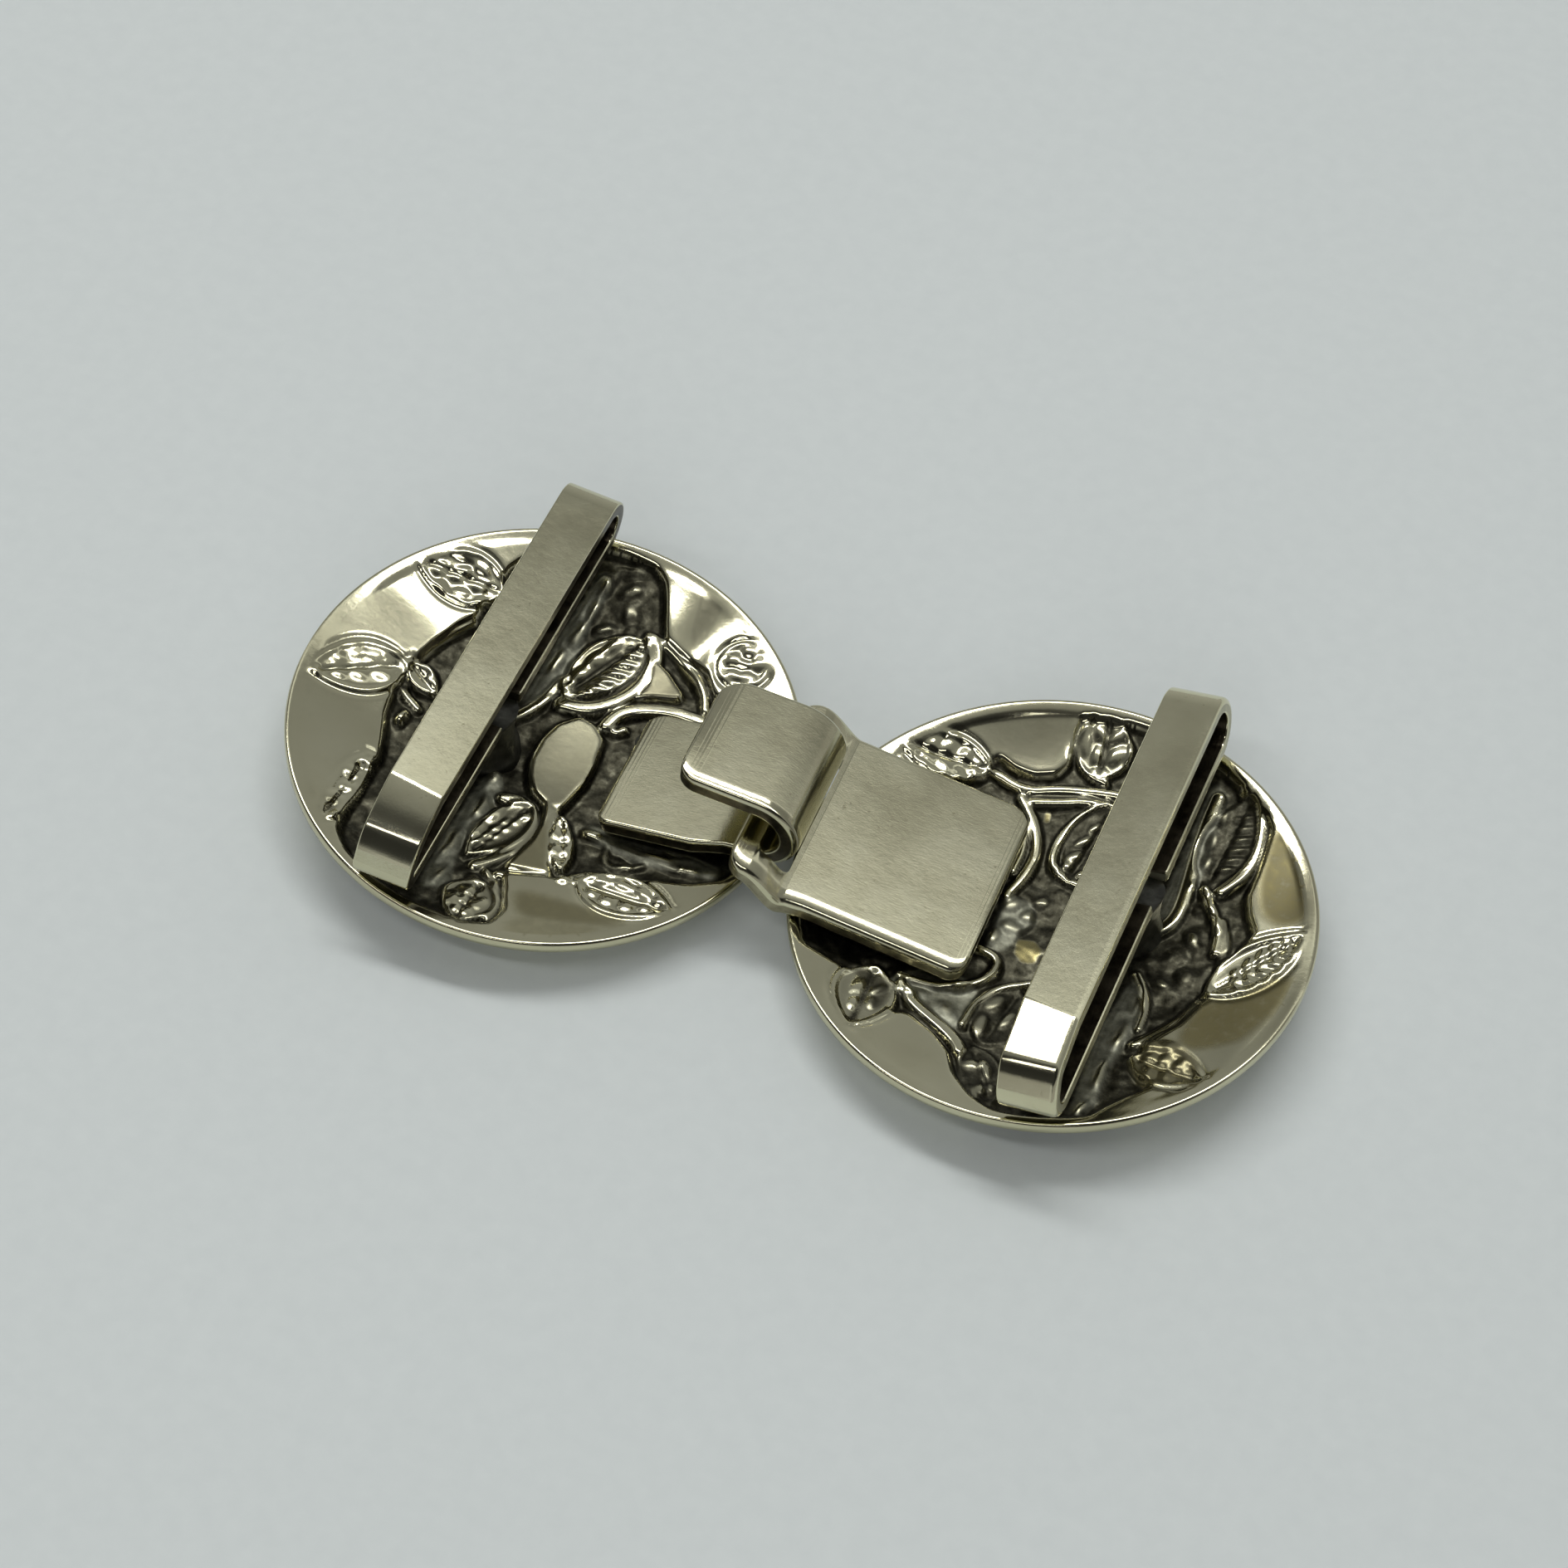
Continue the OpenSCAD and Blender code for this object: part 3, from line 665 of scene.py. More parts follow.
# %% The hook half's folds, solder and stains
HOOK_FOLDS = [
    # the crushed leaf at the top, half under the loop
    (-1.2, 12.2, 2.6, 0.9, 80), (-1.2, 10.2, 2.0, 0.9, 95), (-1.5, 8.4, 2.2, 1.0, 85),
    (0.3, 12.4, 2.0, 1.2, 60), (0.9, 11.0, 2.2, 1.3, 110), (-0.2, 9.4, 1.6, 1.0, 30),
    (-2.0, 6.2, 2.4, 1.0, 80), (-0.3, 13.5, 2.0, 0.8, 10), (1.3, 9.9, 1.4, 0.8, 60),
    # solder that ran along the loop, and what shows below the tongue
    (-1.9, -2.6, 2.6, 1.2, 80), (-1.7, -5.2, 2.4, 1.0, 95), (-2.1, -8.2, 3.0, 1.1, 88),
    (-1.6, -10.9, 2.0, 0.9, 80), (4.9, -4.4, 1.6, 1.0, 20), (7.2, -5.6, 2.0, 0.9, 160),
    (9.3, -4.4, 2.4, 0.9, 5), (11.2, -5.0, 1.8, 0.8, 170),
]
HOOK_RINGS = [(8.5, 9.75, 1.75)]
HOOK_SOLDER = [
    [(-2.4, -1.5), (-1.2, -3.1), (-1.2, -5.2), (-1.6, -8.3), (-1.0, -11.4), (-2.3, -12.7), (-2.6, -8)],
    [(4.2, -3.4), (8, -3.6), (12.8, -4.0), (12.8, -4.9), (8.6, -5.2), (6.4, -4.9), (4.8, -4.6)],
    [(-2.6, 2.6), (-1.4, 3.6), (-0.9, 5.4), (-1.2, 9.4), (-1.0, 12.4), (-1.9, 13.2), (-2.4, 8)],
]
# Each stain is yellowness, darkening, softness and outline. The darkening of the first three is painted
# shade: it paints the darker reflection in the smooth field at the top right and at the upper left. The
# others yellow and darken their patches by their own numbers.
HOOK_STAINS_AND_PAINTED_SHADE = [
    (0.00, 0.45, 0.25, [(4.3, 13.8), (5.9, 13.2), (5.7, 11.8), (5.4, 10.1), (5.0, 10.0), (4.6, 11.8)]),
    (0.00, 0.48, 0.50, [
        (-14.8, 5.6), (-9.4, 5.2), (-8.2, 3.8), (-9.3, 1.8), (-13.0, 2.6), (-14.9, 1.6),
    ]),
    (0.00, 0.50, 0.50, [
        (-14.2, 5.9), (-12.9, 5.6), (-11.9, 4.6), (-12.3, 3.8), (-13.6, 3.4), (-14.5, 4.2),
    ]),
    (0.15, 0.42, 0.30, [
        (0.9, 3.1), (2.6, 2.4), (3.0, 0.6), (3.0, -1.4), (2.5, -3.8), (1.6, -3.6), (0.0, -2.0),
        (-0.4, 0.8),
    ]),
    (0.45, 0.30, 0.25, [(2.1, -3.8), (2.5, -5.2), (3.4, -7.5), (3.8, -8.2), (1.6, -8.8), (1.9, -6.2)]),
    (0.30, 0.66, 0.15, [
        (3.3, 8.3), (4.6, 7.9), (5.8, 6.9), (5.8, 6.5), (4.6, 6.2), (3.4, 5.7), (3.8, 6.9),
    ]),
    (0.55, 0.30, 0.5, [
        (2.4, -10.2), (5.2, -10.0), (8.0, -9.9), (10.0, -9.6), (9.0, -10.8), (6.4, -11.6), (3.6, -12.2),
    ]),
    (0.30, 0.10, 0.5, [(4.0, -11.6), (8.6, -10.9), (8.2, -12.2), (4.6, -14.0), (3.0, -13.8)]),
]
print("between them are", len(HOOK_FOLDS), "folds and", len(HOOK_SOLDER), "pools of solder")

# %% The eye half's ground
EYE_GROUND = [
    (-2.9, 13.9), (-2.85, 12.2), (-2.6, 10.9), (-3.1, 9.9), (-4.3, 9.4), (-5.6, 9.4), (-6.7, 9.8),
    (-7.0, 8.9), (-9.6, 6.9), (-12.8, 6.0), (-13.8, 0), (-13.4, -6.0), (-12.6, -7.2), (-9.6, -7.7),
    (-7.0, -7.9), (-6.3, -9.4), (-5.2, -9.1), (-3.5, -9.8), (-2.2, -10.8), (-1.3, -12.3), (0.1, -13.5),
    (1.6, -14.2), (3.6, -14.2), (5.4, -13.7), (6.3, -13.0), (7.0, -11.6), (7.9, -10.4), (8.8, -9.5),
    (8.6, -7.6), (7.4, -6.5), (8.2, -5.3), (8.9, -4.4), (9.5, -2.9), (9.7, -1.9), (10.0, -1.0),
    (10.3, 0.6), (10.6, 2.0), (11.0, 2.8), (10.3, 3.9), (9.8, 5.2), (9.9, 7.3), (9.8, 9.6), (8.9, 11.1),
    (7.6, 12.4), (6.0, 13.5), (3.0, 14.2), (0.8, 14.4),
]
EYE_RIDGES = [
    (-0.15, 0.15, [(-6.6, 8.9), (-4.6, 8.4), (-2.7, 9.2), (-0.4, 9.7), (0.8, 9.8)]),
    (-0.20, 0.10, [(-4.0, 7.9), (-2.4, 8.4), (-1.0, 8.95), (0.6, 9.0)]),
    (-0.22, 0.16, [(-4.6, 8.0), (-3.2, 6.5), (-2.5, 4.8), (-2.6, 3.1), (-3.2, 1.3)]),
    (-0.25, 0.10, [(-3.7, 6.2), (-3.3, 4.6), (-3.4, 3.0)]),
    (-0.18, 0.10, [(0.2, 9.1), (-1.0, 7.9), (-1.7, 6.0), (-1.5, 4.2), (-0.4, 3.5), (0.8, 3.4)]),
    (-0.20, 0.12, [(-3.4, -2.8), (-2.1, -3.0), (-1.9, -4.1), (-2.7, -5.4), (-4.4, -6.4), (-6.7, -6.6)]),
    (-0.24, 0.08, [(0.3, -4.0), (-1.4, -5.0), (-2.2, -6.6), (-2.3, -8.4)]),
    (-0.10, 0.22, [(-6.4, -7.2), (-5.2, -8.3), (-3.8, -8.9), (-2.3, -9.7), (-1.7, -10.4)]),
    (-0.22, 0.10, [(-1.7, -10.4), (-0.9, -11.9), (0.3, -13.2)]),
    (-0.12, 0.22, [(7.7, 12.0), (8.9, 10.7), (9.4, 8.7), (9.3, 6.7), (8.3, 5.3)]),
    (-0.22, 0.12, [(7.4, 5.2), (8.3, 4.0), (9.1, 2.7), (9.3, 1.2)]),
    (-0.24, 0.14, [(9.7, -1.9), (9.2, -3.4), (8.2, -5.0), (7.0, -6.4)]),
    (-0.16, 0.26, [(4.9, 1.4), (6.0, 2.0), (6.5, 3.3), (6.3, 6.2), (6.1, 9.0), (6.2, 11.2)]),
    (-0.30, 0.15, [(9.0, 3.4), (9.8, 1.8), (9.9, 0.2)]),
    (-0.24, 0.10, [(5.6, -1.4), (6.8, -3.0), (6.9, -5.2)]),
    (-0.14, 0.12, [(-2.7, 13.8), (-2.5, 12.0), (-1.7, 10.7), (-0.4, 10.4)]),
]
print("the eye half's ground has", len(EYE_RIDGES), "ridges")

# %% The eye half's leaves and petals
EYE_LEAVES = [
    (-9.5, 8.5, 5.4, 2.7, 186, -0.10, 0.14),
    (0.2, 6.3, 5.6, 3.0, 262, -0.42, 0.04),
    (7.7, 8.6, 6.4, 3.0, 84, -0.50, 0.04),
    (11.8, 0.6, 6.6, 2.8, 51, -0.08, 0.18),
    (9.3, -7.8, 4.4, 2.4, 350, -0.14, 0.10),
    (-0.5, -7.0, 4.8, 3.0, 82, -0.46, 0.03),
    (0.0, -11.6, 4.6, 2.4, 302, -0.42, 0.05),
    (-1.1, 12.5, 4.2, 3.3, 98, -0.30, 0.10),
    (-7.9, -9.1, 4.9, 3.4, 272, -0.22, 0.18),
]
EYE_LUMPS = [
    # the bright leaf at the upper left
    (-11.3, 8.0, 0.9, 0.6, 20), (-10.5, 8.9, 1.1, 0.6, 60), (-9.5, 9.3, 1.2, 0.6, 70),
    (-8.5, 9.0, 1.1, 0.6, 80), (-7.7, 8.4, 0.9, 0.5, 100), (-10.4, 7.8, 0.9, 0.6, 100),
    (-9.3, 7.8, 1.0, 0.6, 110), (-8.4, 7.7, 0.8, 0.5, 110),
    # the bud at the top: a few big petals
    (-2.3, 12.6, 1.7, 0.6, 100), (-1.5, 13.2, 1.2, 0.7, 130), (-0.5, 13.4, 1.2, 0.7, 60),
    (-1.3, 11.9, 1.2, 0.7, 100), (-0.3, 12.2, 1.2, 0.7, 75), (-0.9, 10.9, 0.9, 0.6, 10),
    (0.5, 12.6, 1.3, 0.6, 90),
    # the leaf half hidden by the loop, and the crushed one right of it
    (-0.4, 5.2, 1.1, 0.6, 50), (-0.7, 4.4, 0.9, 0.5, 30), (-0.2, 6.4, 1.2, 0.5, 50),
    (0.2, 7.5, 1.1, 0.5, 50), (0.4, 4.2, 0.8, 0.5, 20), (8.1, 10.4, 1.1, 0.4, 20),
    (8.3, 9.7, 1.2, 0.4, 20), (8.4, 9.0, 1.3, 0.4, 20), (8.4, 8.3, 1.3, 0.4, 20),
    (8.3, 7.6, 1.2, 0.4, 20), (8.1, 6.9, 1.1, 0.4, 20), (6.9, 10.2, 1.4, 0.6, 100),
    (6.8, 8.6, 1.4, 0.6, 95), (6.9, 7.0, 1.3, 0.6, 85),
    # the leaf at the right
    (13.0, 2.4, 0.8, 0.5, 110), (12.5, 1.8, 1.1, 0.5, 100), (12.0, 1.1, 1.2, 0.5, 100),
    (11.5, 0.3, 1.2, 0.5, 100), (11.0, -0.5, 1.0, 0.5, 100), (13.3, 1.7, 0.7, 0.4, 20),
    (12.9, 0.9, 1.0, 0.45, 10), (12.5, 0.1, 1.1, 0.45, 5), (11.9, -0.6, 1.0, 0.45, 0),
    (11.2, -1.3, 0.8, 0.4, 0),
    # the leaf at the lower right and the small one above it
    (8.2, -7.3, 0.9, 0.6, 60), (9.1, -7.1, 0.9, 0.6, 60), (10.0, -7.3, 0.8, 0.6, 60),
    (8.5, -8.3, 0.9, 0.6, 100), (9.5, -8.3, 0.9, 0.6, 100), (8.0, -6.4, 1.0, 0.5, 20),
    (9.0, -6.2, 0.9, 0.5, 0),
    # the bud at the lower left
    (-7.3, -8.3, 0.9, 0.4, 60), (-7.3, -9.4, 0.8, 0.4, 100), (-8.4, -8.7, 1.2, 0.6, 80),
    (-8.2, -9.9, 0.9, 0.6, 95),
]
print("on it stand", len(EYE_LEAVES), "leaves and", len(EYE_LUMPS), "lumps")

# %% The eye half's folds, solder and stains
EYE_FOLDS = [
    # lumps between the stems
    (6.0, -0.2, 1.8, 1.2, 20), (7.2, 0.4, 2.0, 1.3, 60), (8.2, -0.8, 1.8, 1.2, 110),
    (6.8, -1.5, 1.7, 1.0, 0), (7.8, 1.8, 2.0, 1.1, 120), (7.3, 5.3, 1.6, 1.1, 0),
    (7.6, 4.0, 1.6, 1.1, 0), (8.8, 3.0, 1.5, 0.8, 100), (-2.6, 0.9, 1.7, 1.2, 40),
    (-2.2, -0.6, 1.5, 1.1, 0), (-1.6, 0.5, 1.2, 1.0, 70), (-3.0, -1.6, 1.5, 1.1, 80),
    (-1.2, 1.7, 1.3, 0.9, 30),
    # the leaf and the pod at the bottom
    (-1.2, -6.2, 2.0, 1.0, 60), (-1.4, -7.9, 2.0, 1.0, 95), (-0.2, -7.1, 1.9, 1.1, 60),
    (0.0, -11.2, 1.8, 1.0, 120), (0.4, -12.6, 1.6, 1.0, 40), (-0.7, -11.0, 1.5, 0.9, 30),
    # solder along the loop
    (6.3, -3.2, 2.2, 1.0, 95), (6.1, -6.0, 2.6, 1.1, 85), (6.0, -9.2, 2.6, 1.1, 92),
    (5.8, -12.0, 1.8, 0.9, 80), (-3.6, -5.9, 1.8, 1.1, 20), (-3.4, -7.8, 2.0, 1.2, 150),
    (-5.4, -7.3, 1.6, 0.9, 10),
]
EYE_SOLDER = [
    [(5.5, -1.4), (6.9, -3.1), (6.7, -5.2), (6.2, -8.3), (6.4, -11.4), (5.4, -13.1), (4.9, -6)],
    [(5.2, 1.0), (6.7, 2.4), (6.9, 6), (6.6, 11.6), (5.6, 12.4), (5.4, 6)],
    [(-3.3, 1.6), (-1.6, 1.4), (-1.0, 0.2), (-1.6, -1.0), (-2.0, -2.4), (-3.2, -2.4)],
    [(-4.6, -4.6), (-2.4, -5.6), (-2.6, -9.2), (-5.0, -8.2), (-7.4, -6.9)],
]
# Each stain is yellowness, darkening, softness and outline. The darkening of the fourth, fifth and last is
# painted shade: it paints the darker reflection in the smooth fields at the right and at the top left. The
# others yellow and darken their patches by their own numbers.
EYE_STAINS_AND_PAINTED_SHADE = [
    (0.00, 0.80, 0.25, [
        (-9.2, -7.2), (-6.6, -7.4), (-6.6, -9.4), (-7.4, -10.4), (-7.6, -8.4), (-9.0, -7.9),
    ]),
    (0.95, 0.00, 0.10, [
        (-1.6, -1.2), (-0.6, -0.9), (0.0, -1.5), (-0.1, -2.5), (-0.8, -2.7), (-1.4, -2.3),
    ]),
    (0.90, 0.00, 0.10, [(-3.1, 7.8), (-2.7, 7.7), (-2.6, 7.1), (-2.9, 6.9)]),
    (0.90, 0.64, 0.45, [
        (9.9, 9.9), (10.2, 6.2), (10.9, 4.2), (12.0, 3.4), (13.6, 4.0), (13.6, 5.8), (12.4, 8.0),
        (10.8, 10.0),
    ]),
    (0.85, 0.50, 0.45, [
        (9.6, -2.2), (11.2, -2.3), (13.4, 0.2), (14.3, 0.4), (14.0, -2.2), (12.6, -5.0), (10.2, -6.2),
        (9.2, -5.8), (9.5, -3.9),
    ]),
    (0.60, 0.50, 0.35, [
        (7.4, -6.2), (9.4, -5.6), (11.2, -7.2), (10.6, -8.6), (8.6, -9.6), (7.3, -8.2),
    ]),
    (0.00, 0.30, 0.30, [(-9.0, 10.3), (-6.0, 9.6), (-3.6, 9.8), (-3.3, 13.8), (-6.5, 12.8)]),
]
print("between them are", len(EYE_FOLDS), "folds and", len(EYE_SOLDER), "pools of solder")

# %% [markdown]
# ## Drawing the height
#
# The sunk ground comes first. Behind the leaves it was left as cast, and years of dirt have
# made it crumbly, so three sizes of noise roughen it. Where solder has run into it, it is
# higher and smoother. Then everything in the lists is drawn on it. The folds are broad and
# low, and the beads of the leaf at the left are nearly worn away.

# %% The sunk ground
GROUND_DEPTH = 0.60
POOL_DEPTH = 0.42
POOL_SHARE = 0.8

def sunk_ground(seed, ground, islands, solder):
    """Height of the ground behind the spray, and where solder has run into it."""
    sunk = inside(ground)
    for island in islands:
        sunk *= 1 - inside(island)
    sunk = eased((blurred(sunk, 0.2) - 0.5) / 0.85 + 0.5)
    crumbs = 0.016 * grain(seed, 0.14) + 0.045 * grain(seed + 1, 0.38) + 0.05 * grain(seed + 6, 0.9)
    pool = np.zeros(sunk.shape)
    for outline in solder:
        pool = np.maximum(pool, inside(outline))
    pool = eased((blurred(pool, 0.3) - 0.25) / 0.5)
    smooth = 0.04 * grain(seed + 5, 0.6) + 0.02 * grain(seed + 7, 0.25) - POOL_DEPTH
    filled = POOL_SHARE * pool * sunk
    print("sunk ground:", round(sunk.sum() * PITCH ** 2), "mm2, filled:", round(filled.sum() * PITCH ** 2))
    return sunk * (crumbs - GROUND_DEPTH) * (1 - filled) + sunk * smooth * filled, pool

# %% Everything on it
FOLDS_LOOK = {"rise": 0.17, "bold": 1.0}
BEADS_LOOK = {"rise": 0.09, "bold": 1.5}

def spray_height(height, ridges, leaves, rings, folds, beads, lumps):
    """The finished relief, drawn on the sunk ground."""
    for ridge in ridges:
        add_ridge(height, *ridge)
    for leaf in leaves:
        add_leaf(height, *leaf)
    for ring in rings:
        add_ring(height, *ring)
    add_lumps(height, folds, **FOLDS_LOOK)
    add_lumps(height, beads, **BEADS_LOOK)
    add_lumps(height, lumps)
    return blurred(height, 0.05)

# %% [markdown]
# ## Tarnish, solder, stains and painted shade
#
# Three more maps say where the metal is dark, where dull solder has run and where the plating is thin or
# stained yellow. They could be painted by hand. But tarnish gathers where the surface is low and hollow,
# and rubbing keeps the high lines bright, so it is worked out from the heights themselves, and always fits
# them. A stain is an outline with its yellowness, its darkening and the softness of its edge. In some
# smooth fields that darkening is painted shade, a darker reflection painted on, and it joins the tarnish in
# the dark map.

# %% Tarnish from the heights
def tarnish_of(height):
    """How dark each place is, how deep it lies and how far it stands out."""
    around = blurred(height, 0.45)
    hollow = eased((around - height) / 0.20)
    proud = eased((height - around - 0.02) / 0.13)
    deep = eased((-height - 0.14) / 0.30)
    darkness = np.clip(deep * (1 - 0.62 * proud) + 0.4 * hollow * eased((-height + 0.02) / 0.1), 0, 1)
    print("tarnished:", round(darkness.sum() * PITCH ** 2), "mm2")
    return darkness, deep, proud

# %% Draw a spray
def draw_spray(seed, ground, ridges, leaves, folds, lumps, solder, stains_and_painted_shade, islands=(), rings=(), beads=()):
    """Maps of height, darkness, solder and brass for one disc. The darkness is tarnish, and in some smooth
    fields painted shade from the stains.
    """
    height, pool = sunk_ground(seed, ground, islands, solder)
    height = spray_height(height, ridges, leaves, rings, folds, beads, lumps)
    darkness, deep, proud = tarnish_of(height)
    brassy, darkening = np.zeros(height.shape), np.zeros(height.shape)
    for yellow, how_dark, soft, outline in stains_and_painted_shade:
        there = eased((blurred(inside(outline), soft) - 0.15) / 0.7)
        brassy, darkening = np.maximum(brassy, yellow * there), np.maximum(darkening, how_dark * there)
    # The stains' darkening joins the tarnish. In the smooth fields it is painted shade, a darker reflection
    # painted on.
    darkness = np.maximum(darkness * (1 - 0.8 * brassy), darkening)
    grey = pool * deep * (1 - 0.5 * proud)
    return {"height": height, "darkness": darkness, "solder": grey, "brass": brassy}

hook_maps = draw_spray(
    11, HOOK_GROUND, HOOK_RIDGES, HOOK_LEAVES, HOOK_FOLDS, HOOK_LUMPS, HOOK_SOLDER, HOOK_STAINS_AND_PAINTED_SHADE,
    HOOK_ISLANDS, HOOK_RINGS, HOOK_BEADS,
)
eye_maps = draw_spray(
    47, EYE_GROUND, EYE_RIDGES, EYE_LEAVES, EYE_FOLDS, EYE_LUMPS, EYE_SOLDER, EYE_STAINS_AND_PAINTED_SHADE
)
print("relief from", hook_maps["height"].min().round(2), "to", hook_maps["height"].max().round(2), "mm")

# %% [markdown]
# ## The bowl is not quite even
#
# Pressed metal never springs back to a perfect bowl. Slow swells of a tenth or two of a millimetre are too
# low to see by themselves, but they bend the reflections in the bright fields: the white and dark streaks
# at the top of the hook half's disc are such swells. They are drawn after the dark map of tarnish and
# painted shade, so they bring no darkening with them.

# %% Slow swells
EVERYWHERE = (slice(None), slice(None))

def add_swells(height, seed, swells):
    """Adds a little slow noise and a few charted swells: x, y, length, width, direction, rise."""
    height += 0.006 * grain(seed, 1.3) + 0.014 * grain(seed + 1, 3.0)
    for x, y, length, width, turn, rise in swells:
        u, v = turned_to(EVERYWHERE, x, y, turn)
        height += rise * np.exp(-((u / length) ** 2 + (v / width) ** 2) / 2)

add_swells(hook_maps["height"], 21, [
    (-11.6, 6.3, 2.6, 1.3, -22, -0.10), (-9.5, 10.8, 2.5, 1.6, 40, 0.03), (2.7, 10.3, 1.0, 2.0, -10, 0.16),
    (5.2, 9.3, 0.75, 2.3, -6, -0.22), (7.6, 10.0, 0.7, 2.0, -25, 0.08), (2.5, -11.0, 1.6, 3.0, 60, -0.06),
    (7.0, -11.0, 2.0, 1.2, 35, 0.08),
])
add_swells(eye_maps["height"], 57, [
    (-6.8, 10.0, 4.0, 2.5, 25, -0.20), (-5.5, 8.6, 3.0, 1.8, 0, -0.16), (12.3, 6.2, 0.8, 2.2, 12, -0.10),
    (12.6, -3.0, 1.4, 2.6, 10, 0.10), (10.8, -7.8, 1.5, 1.6, 0, -0.10), (-5.0, -12.0, 3.0, 1.5, -20, -0.05),
])
print("with swells it reaches", hook_maps["height"].max().round(2), "mm")

# %% [markdown]
# ## The discs
#
# A disc could be a grid of squares, but its round rim would be ragged. Rings of points, six
# more in each ring than in the last, fill a circle evenly, and the outer rings can follow the
# rim's own profile. The back and the face are two such sheets, joined by the edge.

# %% Rings of points
FIELD_RINGS = 104
FIELD_EDGE = 14.2
DISC_THICK = 0.9
# Radius, height on the back and height on the face of each outer ring.
RIM = [
    (14.40, -0.172, -0.99),
    (14.58, -0.121, -0.96),
    (14.72, -0.082, -0.92),
    (14.84, -0.060, -0.87),
    (14.94, -0.115, -0.79),
    (15.00, -0.260, -0.66),
]
RINGS = FIELD_RINGS + len(RIM)

def ring_points():
    """x and y of all points, ring by ring."""
    field = FIELD_EDGE * np.arange(1, FIELD_RINGS + 1) / FIELD_RINGS
    radii = [*field, *(r for r, _, _ in RIM)]
    flat = [np.zeros((1, 2))]
    for k, r in enumerate(radii, 1):
        a = 2 * math.pi * np.arange(6 * k) / (6 * k)
        flat.append(np.stack([r * np.cos(a), r * np.sin(a)], axis=1))
    return np.concatenate(flat)

def ring_start(k):
    """Number of the first point in a ring."""
    return 1 + 3 * k * (k - 1)

def ring_faces():
    """Triangles between neighbouring rings."""
    out = []
    def at(k, i):
        return 0 if k == 0 else ring_start(k) + i % (6 * k)
    for k in range(1, RINGS + 1):
        for side in range(6):
            for i in range(k):
                inner, outer = side * (k - 1) + i, side * k + i
                out.append((at(k - 1, inner), at(k, outer), at(k, outer + 1)))
                if i < k - 1:
                    out.append((at(k - 1, inner), at(k, outer + 1), at(k - 1, inner + 1)))
    return np.array(out)

FLAT = ring_points()
SHEET = ring_faces()
print("one sheet has", len(FLAT), "points and", len(SHEET), "triangles")

# %% Wrap the maps onto the dish
RIM_R = 15
DISH_DEPTH = 2.2

def sampled(image, flat):
    """The map's value at each point."""
    at = (flat + HALF_MAP) / PITCH
    cell = np.clip(np.floor(at).astype(int), 0, len(ticks) - 2)
    t = at - cell
    x, y = cell.T
    low = image[y, x] * (1 - t[:, 0]) + image[y, x + 1] * t[:, 0]
    high = image[y + 1, x] * (1 - t[:, 0]) + image[y + 1, x + 1] * t[:, 0]
    return low * (1 - t[:, 1]) + high * t[:, 1]

def dish(r):
    """Depth of the plain hollow back at distance r from the middle."""
    return -DISH_DEPTH * (1 - (r / RIM_R) ** 2)

print("the dish is", -dish(0), "mm deep in the middle and", round(-dish(10), 2), "mm deep at 10 mm")

# %% The two sheets and the edge
FACE_RELIEF = 0.55
RELIEF_EDGE, RELIEF_FADE = 14.35, 0.5
FACE_TARNISH = 0.9

def cast_disc(name, maps, place):
    """A disc with its relief, and its darkness, solder and brass kept as attributes. The darkness is
    tarnish, with painted shade in some smooth fields.
    """
    r = np.hypot(*FLAT.T)
    relief = sampled(maps["height"], FLAT) * eased((RELIEF_EDGE - r) / RELIEF_FADE)
    back = dish(r) + relief
    face = dish(r) + np.maximum(relief, -FACE_RELIEF) - DISC_THICK
    for k, (_, top, under) in enumerate(RIM, FIELD_RINGS + 1):
        ring = slice(ring_start(k), ring_start(k + 1))
        back[ring], face[ring] = top, under
    points = np.concatenate([np.column_stack([FLAT, back]), np.column_stack([FLAT, face])])
    n, last, around = len(FLAT), ring_start(RINGS), 6 * RINGS
    edge = [
        (last + (i + 1) % around, last + i, n + last + i, n + last + (i + 1) % around)
        for i in range(around)
    ]
    faces = SHEET.tolist() + (SHEET[:, ::-1] + n).tolist() + edge
    world = moved(points, place)
    world[:, 2] = np.maximum(world[:, 2], 0.0)
    disc = make_piece(name, world, faces, weighted=False)
    for kind in ("darkness", "solder", "brass"):
        values = sampled(maps[kind], FLAT) * (r < FIELD_EDGE)
        both = np.concatenate([values, values * (FACE_TARNISH if kind == "darkness" else 0)])
        layer = disc.data.attributes.new(kind, "FLOAT", "POINT")
        layer.data.foreach_set("value", both.astype(np.float32))
    return disc

hook_disc = cast_disc("hook_disc", hook_maps, HOOK_PLACE)
eye_disc = cast_disc("eye_disc", eye_maps, EYE_PLACE)

# %% [markdown]
# ## Solder under the loops and plates
#
# Solder runs into a soft mound that wets both pieces. A mound is a lathe shape whose profile
# sweeps out at foot and top, with a slow wave in its radius so that no two sides are alike.

# %% Mounds of solder
MOUND_RINGS, MOUND_SIDES = 9, 32

